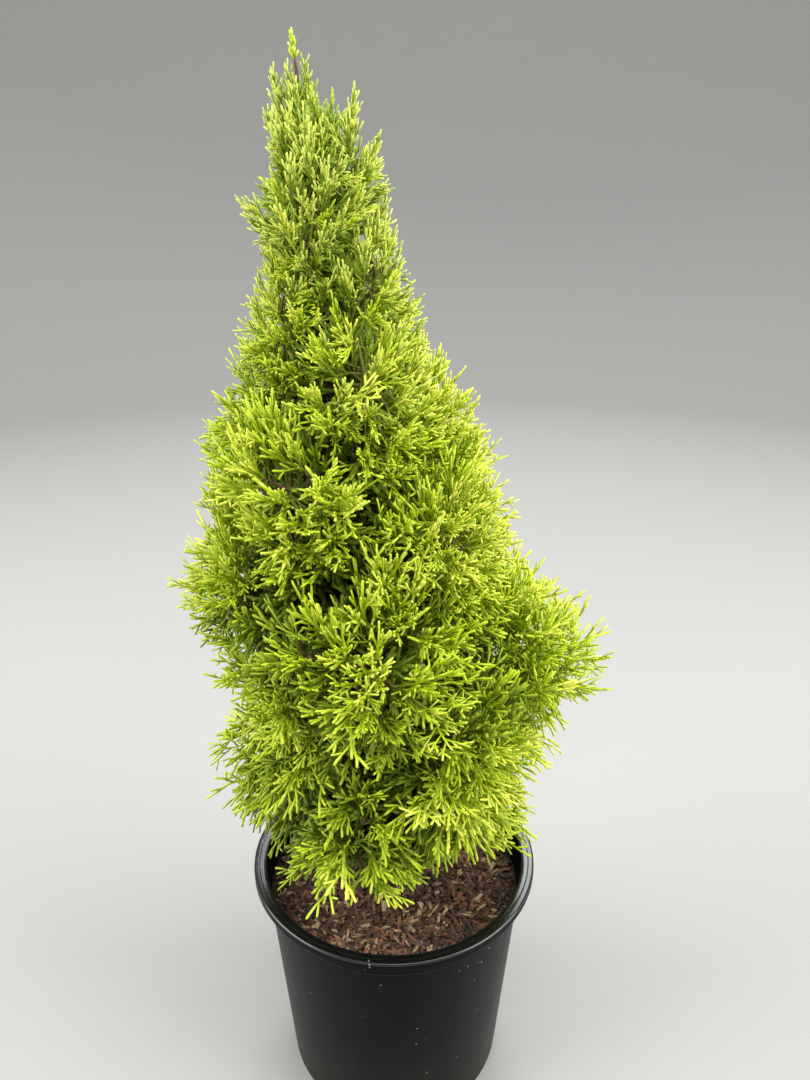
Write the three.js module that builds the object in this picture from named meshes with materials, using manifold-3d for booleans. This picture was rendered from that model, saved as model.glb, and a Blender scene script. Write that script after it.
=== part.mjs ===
// Potted cypress: a young golden conifer, grown as a narrow cone, in a round nursery pot of ten litres.
// Millimetres, +Z up. The origin is the centre of the pot's flat underside, and the leader leans to -X.
import * as THREE from 'three';
import { mergeVertices } from 'three/addons/utils/BufferGeometryUtils.js';
import Module from 'manifold-3d';

const wasm = await Module();
wasm.setup();

// Pot
const POT_HEIGHT = 240;
const RIM_RADIUS = 140;
const RIM_WIDTH = 10.5;
const LIP_HEIGHT = 8;
const BASE_RADIUS = 109.5;
const FOOT_ROUND = 3;
const SHOULDER_RADIUS = 127;
const SHOULDER_BELOW_RIM = 27;
const STACKING_STEP = 2;
const WALL = 1.8;
const FLOOR_THICKNESS = 3;
const POT_SIDES = 48;
const DRAIN_HOLES = 6;
const DRAIN_RADIUS = 7;
const DRAIN_CIRCLE = 88;

// Compost
const SOIL_BELOW_RIM = 28;
const SOIL_SIDES = 24;
const SOIL_ROUGHNESS = 3;

// Clearances
const FIT_GAP = 0.3;
const MASS_GAP = 0.6;
const LIMB_GAP = 1.2;
const FINEST_EDGE = 0.1;
const LEAST_CROSSING = 0.2;

// Trunk
const TREE_HEIGHT = 961;
const SPROUT_LENGTH = 18;
const LEAN = 69;
const LEAN_POWER = 1.25;
const SWAY = 5;
const TRUNK_RADIUS = 7.2;
const TRUNK_TIP_RADIUS = 0.9;
const ROOT_FLARE = 6.5;
const FLARE_HEIGHT = 13;
const ROOT_LOBES = 4;
const ROOT_LOBE_DEPTH = 0.16;
const TRUNK_SIDES = 8;
const TRUNK_ROWS = 20;

// Crown: how far it reaches from the trunk's axis, to the left (-X) and to the right (+X), by height
const CROWN_REACH = [
  [245, 112, 108],
  [300, 158, 150],
  [355, 162, 165],
  [410, 152, 178],
  [465, 150, 210],
  [515, 184, 178],
  [560, 160, 148],
  [610, 138, 136],
  [660, 126, 121],
  [710, 98, 96],
  [760, 76, 80],
  [800, 60, 65],
  [845, 61, 60],
  [885, 32, 54],
  [925, 24, 38],
  [945, 12, 12],
  [961, 6, 6],
];
const FOLIAGE_FLOOR = 251;

// The crown's surface sinks between its masses, from LOBE_START of its reach away from their centres.
const LOBE_START = 0.37;
const LOBE_SLOPE = 0.33;
const TIP_SCATTER = 0.07;

// Growth droops at the skirt and is nearly upright at the top, in degrees above level.
const RISE_AT_SKIRT = -24;
const RISE_AT_TOP = 80;
const RISE_POWER = 0.8;

// Boughs and masses
const MASS_COUNT = 26;
const LOWEST_MASS = 292;
const HIGHEST_MASS = 900;
const HEIGHT_POWER = 1.12;
const FIRST_AZIMUTH = -20;
const MASS_UPRIGHTNESS = 1.25;
const TOP_FULLNESS = 90;
const GOLDEN_ANGLE = 137.508;
const MASS_CENTRE = 0.54;
const STEM_PART = 0.27;
const SHORTEST_STEM_PART = 40;
const BOUGH_SIDES = 5;
const BOUGH_ROWS = 2;
const BOUGH_RADIUS = 1.3;
const BOUGH_ROOT_SHARE = 0.018;
const BOUGH_TIP_SHARE = 0.004;
const BOUGH_CLIMB = 28.4;
const BOUGH_CLIMB_BY_RISE = 0.72;
const BOUGH_KNEE = 0.45;
const LOWEST_BOUGH = 22;
const CORE_FILL_ASIDE = 0.85;
const CORE_FILL_OUT = 0.36;
const LEAST_CORE = 3;

// Sprays of needles
const SPRAY_COUNT = 244;
const SPRAY_LENGTH = 80;
const SPRAY_LENGTH_AT_TOP = 60;
const SPRAY_THICKNESS = 3.4;
const SPRAY_SINK = 12;
const TWIG_RADIUS = 1.7;
const TWIG_ANGLE = 42;
const TWIG_STARTS = [0.25, 0.6];
const SPRAY_SCALES = [1, 0.84, 0.68, 0.54, 0.42];
const SPRAY_ROLLS = 6;
const SPRAY_VARIATION = 0.28;
const WIDE_SHARE = 0.7;
const SEED = 4711;

// A spray's outline on its left side, root to tip: along its rib and out from it, as parts of its length
const WIDE_SPRAY = [[0.15, 0.05], [0.36, 0.4], [0.5, 0.11], [0.76, 0.32], [0.78, 0.08]];
const NARROW_SPRAY = [[0.15, 0.05], [0.55, 0.38], [0.64, 0.09]];
const SPRAY_MIDDLE = 0.46;

const SOIL_TOP = POT_HEIGHT - SOIL_BELOW_RIM;
const TRUNK_FOOT = SOIL_TOP + FIT_GAP;
const TRUNK_TOP = TREE_HEIGHT - SPROUT_LENGTH;
const UP = new THREE.Vector3(0, 0, 1);
const ALONG_X = new THREE.Vector3(1, 0, 0);

const POT_PLASTIC = { color: 0x1b1c1e, roughness: 0.42, metalness: 0 };
const COMPOST = { color: 0x4a3527, roughness: 0.95, metalness: 0 };
const BARK = { color: 0x6b4a33, roughness: 0.85, metalness: 0 };
const FOLIAGE = { color: 0x9dbb2c, roughness: 0.7, metalness: 0 };

const radians = THREE.MathUtils.degToRad;
const clamp = THREE.MathUtils.clamp;
const lerp = THREE.MathUtils.lerp;

// A repeatable stream of numbers from 0 to 1.
function seeded(seed) {
  let state = seed >>> 0;
  return () => {
    state = (state + 0x6d2b79f5) >>> 0;
    let mixed = Math.imul(state ^ (state >>> 15), state | 1);
    mixed ^= mixed + Math.imul(mixed ^ (mixed >>> 7), mixed | 61);
    return ((mixed ^ (mixed >>> 14)) >>> 0) / 4294967296;
  };
}

// Closed triangle meshes as solids and back

function closedMesh(geometry) {
  geometry.deleteAttribute('normal');
  geometry.deleteAttribute('uv');
  const merged = mergeVertices(geometry, 1e-4);
  const corners = merged.index.array;
  const kept = [];
  for (let n = 0; n < corners.length; n += 3) {
    const [a, b, c] = [corners[n], corners[n + 1], corners[n + 2]];
    if (a !== b && b !== c && c !== a) {
      kept.push(a, b, c);
    }
  }
  merged.setIndex(kept);
  return merged;
}

function solidOf(geometry) {
  const merged = closedMesh(geometry);
  const vertProperties = new Float32Array(merged.attributes.position.array);
  const triVerts = new Uint32Array(merged.index.array);
  const solid = new wasm.Manifold(new wasm.Mesh({ numProp: 3, vertProperties, triVerts }));
  if (solid.volume() > 0) {
    return solid;
  }
  for (let n = 0; n < triVerts.length; n += 3) {
    [triVerts[n], triVerts[n + 1]] = [triVerts[n + 1], triVerts[n]];
  }
  return new wasm.Manifold(new wasm.Mesh({ numProp: 3, vertProperties, triVerts }));
}

// The largest body alone: a sealed hollow is filled and a loose scrap is dropped.
function largestBody(solid) {
  const bodies = solid.simplify(FINEST_EDGE).decompose();
  return bodies.reduce((most, body) => (body.volume() > most.volume() ? body : most));
}

function geometryOf(solid) {
  const mesh = solid.getMesh();
  const geometry = new THREE.BufferGeometry();
  geometry.setAttribute('position', new THREE.BufferAttribute(mesh.vertProperties, 3));
  geometry.setIndex(new THREE.BufferAttribute(mesh.triVerts, 1));
  geometry.computeVertexNormals();
  return geometry;
}

function nodeOf(name, solid, finish) {
  const material = new THREE.MeshStandardMaterial(finish);
  const mesh = new THREE.Mesh(geometryOf(largestBody(solid)), material);
  mesh.name = name;
  return mesh;
}

function moveVertices(geometry, move) {
  const place = geometry.attributes.position;
  const point = new THREE.Vector3();
  for (let n = 0; n < place.count; n += 1) {
    const moved = move(point.fromBufferAttribute(place, n));
    place.setXYZ(n, moved.x, moved.y, moved.z);
  }
  return geometry;
}

function turned(profile, sides) {
  const points = profile.map(([radius, height]) => new THREE.Vector2(radius, height));
  return new THREE.LatheGeometry(points, sides).rotateX(Math.PI / 2);
}

// Pot and compost

function innerRadius(height) {
  const slope = (SHOULDER_RADIUS - BASE_RADIUS) / (POT_HEIGHT - SHOULDER_BELOW_RIM);
  return BASE_RADIUS - WALL + slope * height;
}

function potSolid() {
  const shoulder = POT_HEIGHT - SHOULDER_BELOW_RIM;
  const neck = RIM_RADIUS - RIM_WIDTH;
  const profile = [
    [0, 0],
    [BASE_RADIUS - FOOT_ROUND, 0],
    [BASE_RADIUS, FOOT_ROUND],
    [SHOULDER_RADIUS, shoulder],
    [SHOULDER_RADIUS + STACKING_STEP, shoulder + STACKING_STEP],
    [neck, POT_HEIGHT - WALL],
    [RIM_RADIUS - WALL, POT_HEIGHT - WALL],
    [RIM_RADIUS - WALL, POT_HEIGHT - LIP_HEIGHT],
    [RIM_RADIUS, POT_HEIGHT - LIP_HEIGHT],
    [RIM_RADIUS, POT_HEIGHT - 1],
    [RIM_RADIUS - 1, POT_HEIGHT],
    [neck, POT_HEIGHT],
    [neck - WALL, POT_HEIGHT - 1.5],
    [innerRadius(shoulder) + STACKING_STEP, shoulder + STACKING_STEP],
    [innerRadius(shoulder), shoulder],
    [innerRadius(FLOOR_THICKNESS), FLOOR_THICKNESS],
    [0, FLOOR_THICKNESS],
  ];
  let pot = solidOf(turned(profile, POT_SIDES));
  for (let n = 0; n < DRAIN_HOLES; n += 1) {
    const angle = (n + 0.5) * 2 * Math.PI / DRAIN_HOLES;
    const drill = new THREE.CylinderGeometry(DRAIN_RADIUS, DRAIN_RADIUS, 4 * FLOOR_THICKNESS, 10);
    drill.rotateX(Math.PI / 2);
    drill.translate(DRAIN_CIRCLE * Math.cos(angle), DRAIN_CIRCLE * Math.sin(angle), 0);
    pot = pot.subtract(solidOf(drill));
  }
  return pot;
}

function soilSolid() {
  const random = seeded(SEED);
  const low = FLOOR_THICKNESS + FIT_GAP;
  const edge = SOIL_TOP - 1;
  const side = 1.2 * FIT_GAP;
  const profile = [
    [0, low],
    [innerRadius(low) - side, low],
    [innerRadius(edge) - side, edge],
    [0.8 * innerRadius(edge), edge],
    [0.52 * innerRadius(edge), edge],
    [0.26 * innerRadius(edge), SOIL_TOP],
    [0, SOIL_TOP],
  ];
  const soil = closedMesh(turned(profile, SOIL_SIDES));
  const rough = (point) => {
    const radius = Math.hypot(point.x, point.y);
    const loose = radius > 0.3 * BASE_RADIUS && radius < 0.9 * BASE_RADIUS && point.z > low + 1;
    if (loose) {
      point.z -= SOIL_ROUGHNESS * random();
    }
    return point;
  };
  return solidOf(moveVertices(soil, rough));
}

// Trunk

function alongTrunk(height) {
  return (height - SOIL_TOP) / (TREE_HEIGHT - SOIL_TOP);
}

function trunkPoint(height) {
  const part = clamp(alongTrunk(height), 0, 1);
  const x = -LEAN * part ** LEAN_POWER;
  const y = SWAY * Math.sin(2 * Math.PI * part) * part;
  return new THREE.Vector3(x, y, height);
}

function trunkRadius(height) {
  const part = clamp(alongTrunk(height), 0, 1);
  const flare = ROOT_FLARE * Math.exp(-(height - SOIL_TOP) / FLARE_HEIGHT);
  return lerp(TRUNK_RADIUS, TRUNK_TIP_RADIUS, part ** 0.9) + flare;
}

// The trunk's rows stand closer together in the root flare. Its foot and its top are flat and level.
function trunkSolid(extra) {
  const column = new THREE.CylinderGeometry(1, 1, 1, TRUNK_SIDES, TRUNK_ROWS).rotateX(Math.PI / 2);
  const bend = (point) => {
    const part = (point.z + 0.5) ** 1.5;
    const height = lerp(TRUNK_FOOT - extra, TRUNK_TOP + extra, part);
    const angle = Math.atan2(point.y, point.x);
    const spread = Math.hypot(point.x, point.y);
    const flare = Math.exp(-(height - SOIL_TOP) / FLARE_HEIGHT);
    const lobe = 1 + ROOT_LOBE_DEPTH * Math.cos(ROOT_LOBES * angle) * flare;
    const radius = spread * (trunkRadius(height) * lobe + extra);
    const middle = trunkPoint(height);
    return point.set(middle.x + radius * Math.cos(angle), middle.y + radius * Math.sin(angle), height);
  };
  return solidOf(moveVertices(column, bend));
}

// Crown

function crownReach(height, azimuth) {
  const last = CROWN_REACH.length - 1;
  const level = clamp(height, CROWN_REACH[0][0], CROWN_REACH[last][0]);
  let row = 1;
  while (row < last && CROWN_REACH[row][0] < level) {
    row += 1;
  }
  const [below, above] = [CROWN_REACH[row - 1], CROWN_REACH[row]];
  const part = (level - below[0]) / (above[0] - below[0]);
  const left = lerp(below[1], above[1], part);
  const right = lerp(below[2], above[2], part);
  return lerp(left, right, (1 + Math.cos(azimuth)) / 2);
}

function growthRise(height) {
  const part = clamp((height - FOLIAGE_FLOOR) / (TREE_HEIGHT - FOLIAGE_FLOOR), 0, 1);
  return radians(lerp(RISE_AT_SKIRT, RISE_AT_TOP, part ** RISE_POWER));
}

function outward(azimuth, rise) {
  return new THREE.Vector3(
    Math.cos(azimuth) * Math.cos(rise),
    Math.sin(azimuth) * Math.cos(rise),
    Math.sin(rise),
  );
}

function azimuthOf(point) {
  const axis = trunkPoint(point.z);
  return Math.atan2(point.y - axis.y, point.x - axis.x);
}

function fromTrunk(height, azimuth, part) {
  const reach = part * crownReach(height, azimuth);
  return trunkPoint(height).add(outward(azimuth, 0).multiplyScalar(reach));
}

// A mass fills the crown round its centre. Its stem starts at the entry, where its bough ends.
function massPlan(index) {
  const part = index / (MASS_COUNT - 1);
  const height = lerp(LOWEST_MASS, HIGHEST_MASS, part ** HEIGHT_POWER);
  const azimuth = radians(FIRST_AZIMUTH + index * GOLDEN_ANGLE);
  const centre = fromTrunk(height, azimuth, MASS_CENTRE);
  const rise = growthRise(height);
  const along = outward(azimuth, rise);
  const back = Math.max(STEM_PART * crownReach(height, azimuth), SHORTEST_STEM_PART);
  const entry = centre.clone().addScaledVector(along, -back);
  return { index, height, azimuth, centre, rise, along, entry };
}

// The topmost mass goes on from the trunk's own tip.
function leaderPlan() {
  const entry = trunkPoint(TRUNK_TOP);
  const centre = trunkPoint(TRUNK_TOP + 0.6 * SPROUT_LENGTH);
  const along = centre.clone().sub(entry).normalize();
  return { index: MASS_COUNT, height: centre.z, azimuth: 0, centre, rise: Math.PI / 2, along, entry };
}

// A bough's route: from the trunk's axis, rising more steeply than its mass, and bending out to the entry.
function boughCurve(plan) {
  const axis = trunkPoint(plan.height);
  const out = Math.hypot(plan.entry.x - axis.x, plan.entry.y - axis.y);
  const climb = radians(BOUGH_CLIMB) + BOUGH_CLIMB_BY_RISE * plan.rise;
  const root = trunkPoint(Math.max(plan.entry.z - out * Math.tan(climb), SOIL_TOP + LOWEST_BOUGH));
  const knee = plan.entry.clone().addScaledVector(plan.along, -BOUGH_KNEE * plan.entry.distanceTo(root));
  return new THREE.QuadraticBezierCurve3(root, knee, plan.entry);
}

function boughRadius(plan, part) {
  const reach = crownReach(plan.height, plan.azimuth);
  return BOUGH_RADIUS + lerp(BOUGH_ROOT_SHARE, BOUGH_TIP_SHARE, part) * reach;
}

// A direction square to a curve's run from end to end. All its rings are turned from this one, so none is twisted.
function acrossCurve(curve) {
  const run = curve.getPoint(1).sub(curve.getPoint(0)).normalize();
  const level = Math.abs(run.z) > 0.9 ? ALONG_X : UP;
  return new THREE.Vector3().crossVectors(run, level).normalize();
}

// A round limb with flat ends along a curve, tapering by radiusAt from its root to its tip.
function limbSolid(curve, radiusAt, sides, rows) {
  const column = new THREE.CylinderGeometry(1, 1, 1, sides, rows).rotateX(Math.PI / 2);
  const across = acrossCurve(curve);
  const bend = (point) => {
    const part = clamp(point.z + 0.5, 0, 1);
    const forward = curve.getTangent(part);
    const side = across.clone().projectOnPlane(forward).normalize();
    const front = new THREE.Vector3().crossVectors(side, forward);
    const radius = radiusAt(part);
    const middle = curve.getPoint(part);
    middle.addScaledVector(side, radius * point.x);
    return middle.addScaledVector(front, radius * point.y);
  };
  return solidOf(moveVertices(column, bend));
}

function boughSolid(plan, extra) {
  const radiusAt = (part) => boughRadius(plan, part) + extra;
  return limbSolid(boughCurve(plan), radiusAt, BOUGH_SIDES, BOUGH_ROWS);
}

// Limbs as short straight pieces, for measuring how clear a point is of them
function limbPieces(plans, leader) {
  const pieces = [];
  for (let n = 0; n < TRUNK_ROWS; n += 1) {
    const heights = [n, n + 1].map((row) => lerp(TRUNK_FOOT, TRUNK_TOP, row / TRUNK_ROWS));
    const owner = n === TRUNK_ROWS - 1 ? leader : null;
    pieces.push({ ends: heights.map(trunkPoint), radius: trunkRadius(heights[0]), owner });
  }
  for (const plan of plans) {
    const curve = boughCurve(plan);
    for (let n = 0; n < BOUGH_ROWS; n += 1) {
      const ends = [n, n + 1].map((row) => curve.getPoint(row / BOUGH_ROWS));
      pieces.push({ ends, radius: boughRadius(plan, n / BOUGH_ROWS), owner: plan });
    }
  }
  return pieces;
}

function clearOfLimbs(point, pieces, gap) {
  const nearest = new THREE.Vector3();
  return pieces.every(({ ends, radius }) => {
    const line = new THREE.Line3(ends[0], ends[1]);
    line.closestPointToPoint(point, true, nearest);
    return nearest.distanceTo(point) > radius + gap;
  });
}

// Masses stand taller than they are wide, so heights count for less when nearness is measured.
function stretched(point) {
  return new THREE.Vector3(point.x, point.y, point.z / MASS_UPRIGHTNESS);
}

// A mass's own space: nearer to its centre than to any other, beyond its entry, above the rim, in the crown.
// The result tells whether a point is in it, with the crown's reach times spare and a gap to the limbs.
function spaceOf(plan, plans, pieces) {
  const walls = plans.filter((other) => other !== plan).map((other) => {
    const normal = stretched(other.centre).sub(stretched(plan.centre));
    normal.z /= MASS_UPRIGHTNESS;
    normal.normalize();
    const middle = other.centre.clone().add(plan.centre).multiplyScalar(0.5);
    return { normal, limit: normal.dot(middle) - MASS_GAP };
  });
  walls.push({ normal: plan.along.clone().negate(), limit: -plan.along.dot(plan.entry) - FIT_GAP });
  walls.push({ normal: UP.clone().negate(), limit: -FOLIAGE_FLOOR });
  const nearby = pieces.filter(({ ends, owner }) => (
    owner !== plan && ends[0].distanceTo(plan.centre) < 1.6 * RIM_RADIUS
  ));
  const inCell = (point) => walls.every(({ normal, limit }) => normal.dot(point) < limit);
  const inCrown = (point, spare) => {
    const axis = trunkPoint(point.z);
    const out = Math.hypot(point.x - axis.x, point.y - axis.y);
    return point.z < TREE_HEIGHT && out < spare * crownReach(point.z, azimuthOf(point));
  };
  return (point, spare, gap) => (
    inCell(point) && inCrown(point, spare) && clearOfLimbs(point, nearby, gap)
  );
}

// How far a straight way runs inside the space
function roomAlong(space, start, direction, gap) {
  const step = 2;
  const farthest = 200;
  const point = start.clone();
  let length = 0;
  while (length < farthest && space(point.addScaledVector(direction, step), 1, gap)) {
    length += step;
  }
  return length;
}

function coreRadius(plan, space, direction) {
  const outwardness = Math.max(direction.dot(outward(plan.azimuth, plan.rise / 2)), 0);
  const fill = lerp(CORE_FILL_ASIDE, CORE_FILL_OUT, outwardness);
  return Math.max(fill * roomAlong(space, plan.centre, direction, 2 * LIMB_GAP), LEAST_CORE);
}

// The dense middle of a mass: a faceted ball drawn out towards the walls of its space.
function coreSolid(plan, space) {
  const ball = new THREE.IcosahedronGeometry(1, 1);
  const grow = (point) => {
    const direction = point.clone().normalize();
    return point.copy(plan.centre).addScaledVector(direction, coreRadius(plan, space, direction));
  };
  return solidOf(moveVertices(ball, grow));
}

// How far a spray stands out of the core, measured back from its tip along its rib
function bareLength(plan, space, start, target) {
  const way = target.clone().sub(start);
  const steps = 12;
  for (let n = steps; n > 0; n -= 1) {
    const offset = start.clone().addScaledVector(way, n / steps).sub(plan.centre);
    if (offset.length() < coreRadius(plan, space, offset.clone().normalize())) {
      return way.length() * (1 - n / steps);
    }
  }
  return way.length();
}

// A toothed blade: a double cone whose rim is drawn out into teeth, with the rib down its middle.
// The first tooth is its stalk, which runs back to the wood that it grows from.
function sprayOutline(wide, stalk, random) {
  const side = wide ? WIDE_SPRAY : NARROW_SPRAY;
  const vary = () => 1 + SPRAY_VARIATION * (random() - 0.5);
  const left = side.map(([along, out]) => [along, out * vary()]);
  const right = side.map(([along, out]) => [along + 0.04, -out * vary()]).reverse();
  return [[-stalk, 0], ...left, [1, 0], ...right];
}

function sprayLength(height) {
  return lerp(SPRAY_LENGTH, SPRAY_LENGTH_AT_TOP, clamp((height - 500) / (TRUNK_TOP - 500), 0, 1));
}

function sprayPoint(frame, along, out, rise) {
  return frame.root.clone()
    .addScaledVector(frame.forward, along * frame.length)
    .addScaledVector(frame.side, out * frame.length)
    .addScaledVector(frame.face, rise);
}

function spraySolid(frame, outline) {
  const half = SPRAY_THICKNESS / 2;
  const profile = [[0, -half], [1, 0], [0, half]];
  const blade = turned(profile, outline.length);
  const sector = 2 * Math.PI / outline.length;
  const shape = (point) => {
    if (Math.hypot(point.x, point.y) < 0.5) {
      return sprayPoint(frame, SPRAY_MIDDLE, 0, point.z);
    }
    const turn = Math.round(Math.atan2(point.x, -point.y) / sector);
    const [along, out] = outline[(turn + outline.length) % outline.length];
    return sprayPoint(frame, along, out, 0);
  };
  return solidOf(moveVertices(blade, shape));
}

function sprayFits(space, frame, outline) {
  const parts = [0.35, 0.7, 1];
  return outline.every(([along, out]) => parts.every((part) => {
    const point = sprayPoint(frame, lerp(SPRAY_MIDDLE, along, part), lerp(0, out, part), 0);
    return along < 0 || space(point, 1.06, LIMB_GAP);
  }));
}

function wayFits(space, start, end) {
  return [0.1, 0.3, 0.5, 0.7, 0.9, 1].every((part) => (
    space(start.clone().lerp(end, part), 1.1, LIMB_GAP)
  ));
}

// Where a spray or twig leaves a limb: far enough back to branch at about 45 degrees.
function leavePoint(limb, target, vary) {
  const offset = target.clone().sub(limb.start);
  const ahead = offset.dot(limb.along);
  const aside = Math.sqrt(Math.max(offset.lengthSq() - ahead * ahead, 0));
  const first = 0.06 + 0.14 * vary;
  const distance = clamp(ahead - aside, first * limb.length, (first + 0.74) * limb.length);
  return limb.start.clone().addScaledVector(limb.along, distance);
}

// Whether a new spray would run into one grown before it, outside the core
function crossesAnother(spray, core, grown) {
  const outside = spray.subtract(core);
  return grown.some((other) => outside.intersect(other).volume() > LEAST_CROSSING);
}

// The largest spray that fits, tried at several scales and turned about its rib, or nothing.
function fitSpray(plan, space, limbs, core, grown, target, random) {
  const vary = random();
  const starts = limbs.map((limb) => leavePoint(limb, target, vary));
  const start = starts.reduce((best, place) => (
    place.distanceTo(target) < best.distanceTo(target) ? place : best
  ));
  const forward = target.clone().sub(start).normalize();
  const wide = random() < WIDE_SHARE;
  const firstRoll = Math.PI * random();
  const bare = bareLength(plan, space, start, target);
  const usual = sprayLength(target.z) * (0.85 + 0.15 * vary);
  const longest = Math.min(usual, bare + SPRAY_SINK, 0.92 * start.distanceTo(target));
  for (const scale of SPRAY_SCALES) {
    const length = longest * scale;
    const root = target.clone().addScaledVector(forward, -length);
    const stalk = Math.max(start.distanceTo(target) / length - 1, 0);
    const outline = sprayOutline(wide, stalk, seeded(SEED + Math.round(1e6 * vary)));
    for (let turn = 0; turn < SPRAY_ROLLS; turn += 1) {
      const level = new THREE.Vector3().crossVectors(forward, UP).normalize();
      const side = level.applyAxisAngle(forward, firstRoll + turn * Math.PI / SPRAY_ROLLS);
      const face = new THREE.Vector3().crossVectors(forward, side);
      const frame = { root, forward, side, face, length };
      if (sprayFits(space, frame, outline) && wayFits(space, start, root)) {
        const spray = spraySolid(frame, outline);
        if (!crossesAnother(spray, core, grown)) {
          return spray;
        }
      }
    }
  }
  return null;
}

// Twigs leave the stem at TWIG_ANGLE, each a golden angle further round it than the last.
function twigPlans(plan, space, stemLength, random) {
  const level = new THREE.Vector3().crossVectors(plan.along, UP).normalize();
  const turnStart = 2 * Math.PI * random();
  return TWIG_STARTS.map((part, n) => {
    const start = plan.entry.clone().addScaledVector(plan.along, part * stemLength);
    const side = level.clone().applyAxisAngle(plan.along, turnStart + n * radians(GOLDEN_ANGLE));
    const along = plan.along.clone().applyAxisAngle(side, radians(TWIG_ANGLE));
    return { start, along, length: 0.8 * roomAlong(space, start, along, LIMB_GAP) };
  }).filter((twig) => twig.length > 4 * TWIG_RADIUS);
}

// Points spread evenly over the crown's surface, from the skirt up, on a golden-angle spiral.
function crownTargets(plans, random) {
  const levels = 120;
  const heightOf = (_, n) => lerp(FOLIAGE_FLOOR, TREE_HEIGHT - 2, n / levels);
  const heights = Array.from({ length: levels + 1 }, heightOf);
  const share = [0];
  for (let n = 1; n <= levels; n += 1) {
    const girth = TOP_FULLNESS + (crownReach(heights[n], 0) + crownReach(heights[n], Math.PI)) / 2;
    share.push(share[n - 1] + girth);
  }
  const targets = [];
  let level = 1;
  for (let n = 0; n < SPRAY_COUNT; n += 1) {
    const wanted = share[levels] * (n + 0.5) / SPRAY_COUNT;
    while (share[level] < wanted) {
      level += 1;
    }
    const height = heights[level] - 6 * random();
    const azimuth = radians(n * GOLDEN_ANGLE) + 0.1 * random();
    const surface = fromTrunk(height, azimuth, 1);
    const nearest = nearestPlan(plans, surface);
    const apart = surface.distanceTo(nearest.centre) / crownReach(nearest.height, nearest.azimuth);
    const lobe = 1 - LOBE_SLOPE * clamp(apart - LOBE_START, 0, 1);
    const scatter = TIP_SCATTER * (0.5 - random());
    targets.push(fromTrunk(height, azimuth, Math.max(lobe + scatter, 0.7)));
  }
  return targets;
}

function nearestPlan(plans, point) {
  const apart = (plan) => stretched(plan.centre).distanceTo(stretched(point));
  return plans.reduce((best, plan) => (apart(plan) < apart(best) ? plan : best));
}

function straightLimb(limb, radius, sides) {
  const end = limb.start.clone().addScaledVector(limb.along, limb.length);
  return limbSolid(new THREE.LineCurve3(limb.start, end), (part) => radius * (1 - 0.7 * part), sides, 1);
}

function massSolid(plan, plans, pieces, limbs, targets) {
  const random = seeded(SEED + 1 + plan.index);
  const space = spaceOf(plan, plans, pieces);
  const start = plan.entry.clone().addScaledVector(plan.along, 1.5 * FIT_GAP);
  const stemLength = 0.8 * roomAlong(space, start, plan.along, LIMB_GAP) + FIT_GAP;
  const stem = { start, along: plan.along, length: stemLength };
  const twigs = twigPlans(plan, space, stemLength, random);
  const clearance = limbs.filter((limb) => limb.owner !== plan).map((limb) => limb.solid);
  const core = clearance.reduce((solid, limb) => solid.subtract(limb), coreSolid(plan, space));
  const grown = [];
  let mass = straightLimb(stem, boughRadius(plan, 1), BOUGH_SIDES).add(core);
  for (const twig of twigs) {
    mass = mass.add(straightLimb(twig, TWIG_RADIUS, 3));
  }
  for (const target of targets.filter((point) => nearestPlan(plans, point) === plan)) {
    const spray = fitSpray(plan, space, [stem, ...twigs], core, grown, target, random);
    if (spray) {
      grown.push(spray);
      mass = mass.add(spray);
    }
  }
  return mass;
}

function numbered(word, index) {
  return `${word}_${String(index + 1).padStart(2, '0')}`;
}

function buildPlant() {
  const plant = new THREE.Group();
  const plans = Array.from({ length: MASS_COUNT }, (_, index) => massPlan(index));
  const leader = leaderPlan();
  const everyPlan = [...plans, leader];
  const pieces = limbPieces(plans, leader);
  const targets = crownTargets(everyPlan, seeded(SEED));
  const limbs = plans.map((plan) => ({ owner: plan, solid: boughSolid(plan, LIMB_GAP) }));
  limbs.push({ owner: leader, solid: trunkSolid(LIMB_GAP) });
  const grownTrunk = trunkSolid(FIT_GAP);
  plant.add(nodeOf('trunk', trunkSolid(0), BARK));
  for (const plan of plans) {
    const bough = boughSolid(plan, 0).subtract(grownTrunk);
    plant.add(nodeOf(numbered('bough', plan.index), bough, BARK));
    const mass = massSolid(plan, everyPlan, pieces, limbs, targets);
    plant.add(nodeOf(numbered('foliage', plan.index), mass, FOLIAGE));
  }
  const top = massSolid(leader, everyPlan, pieces, limbs, targets);
  plant.add(nodeOf('foliage_leader', top, FOLIAGE));
  return plant;
}

const pottedCypress = new THREE.Group();
pottedCypress.add(nodeOf('pot', potSolid(), POT_PLASTIC));
pottedCypress.add(nodeOf('soil', soilSolid(), COMPOST));
pottedCypress.add(buildPlant());

export default pottedCypress;
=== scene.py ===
"""Looks of a young golden cypress in a round nursery pot, grown round its fixed frame. Sizes in metres."""
import math
from types import SimpleNamespace

import bmesh
import bpy
import numpy as np
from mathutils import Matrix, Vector, noise


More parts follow.
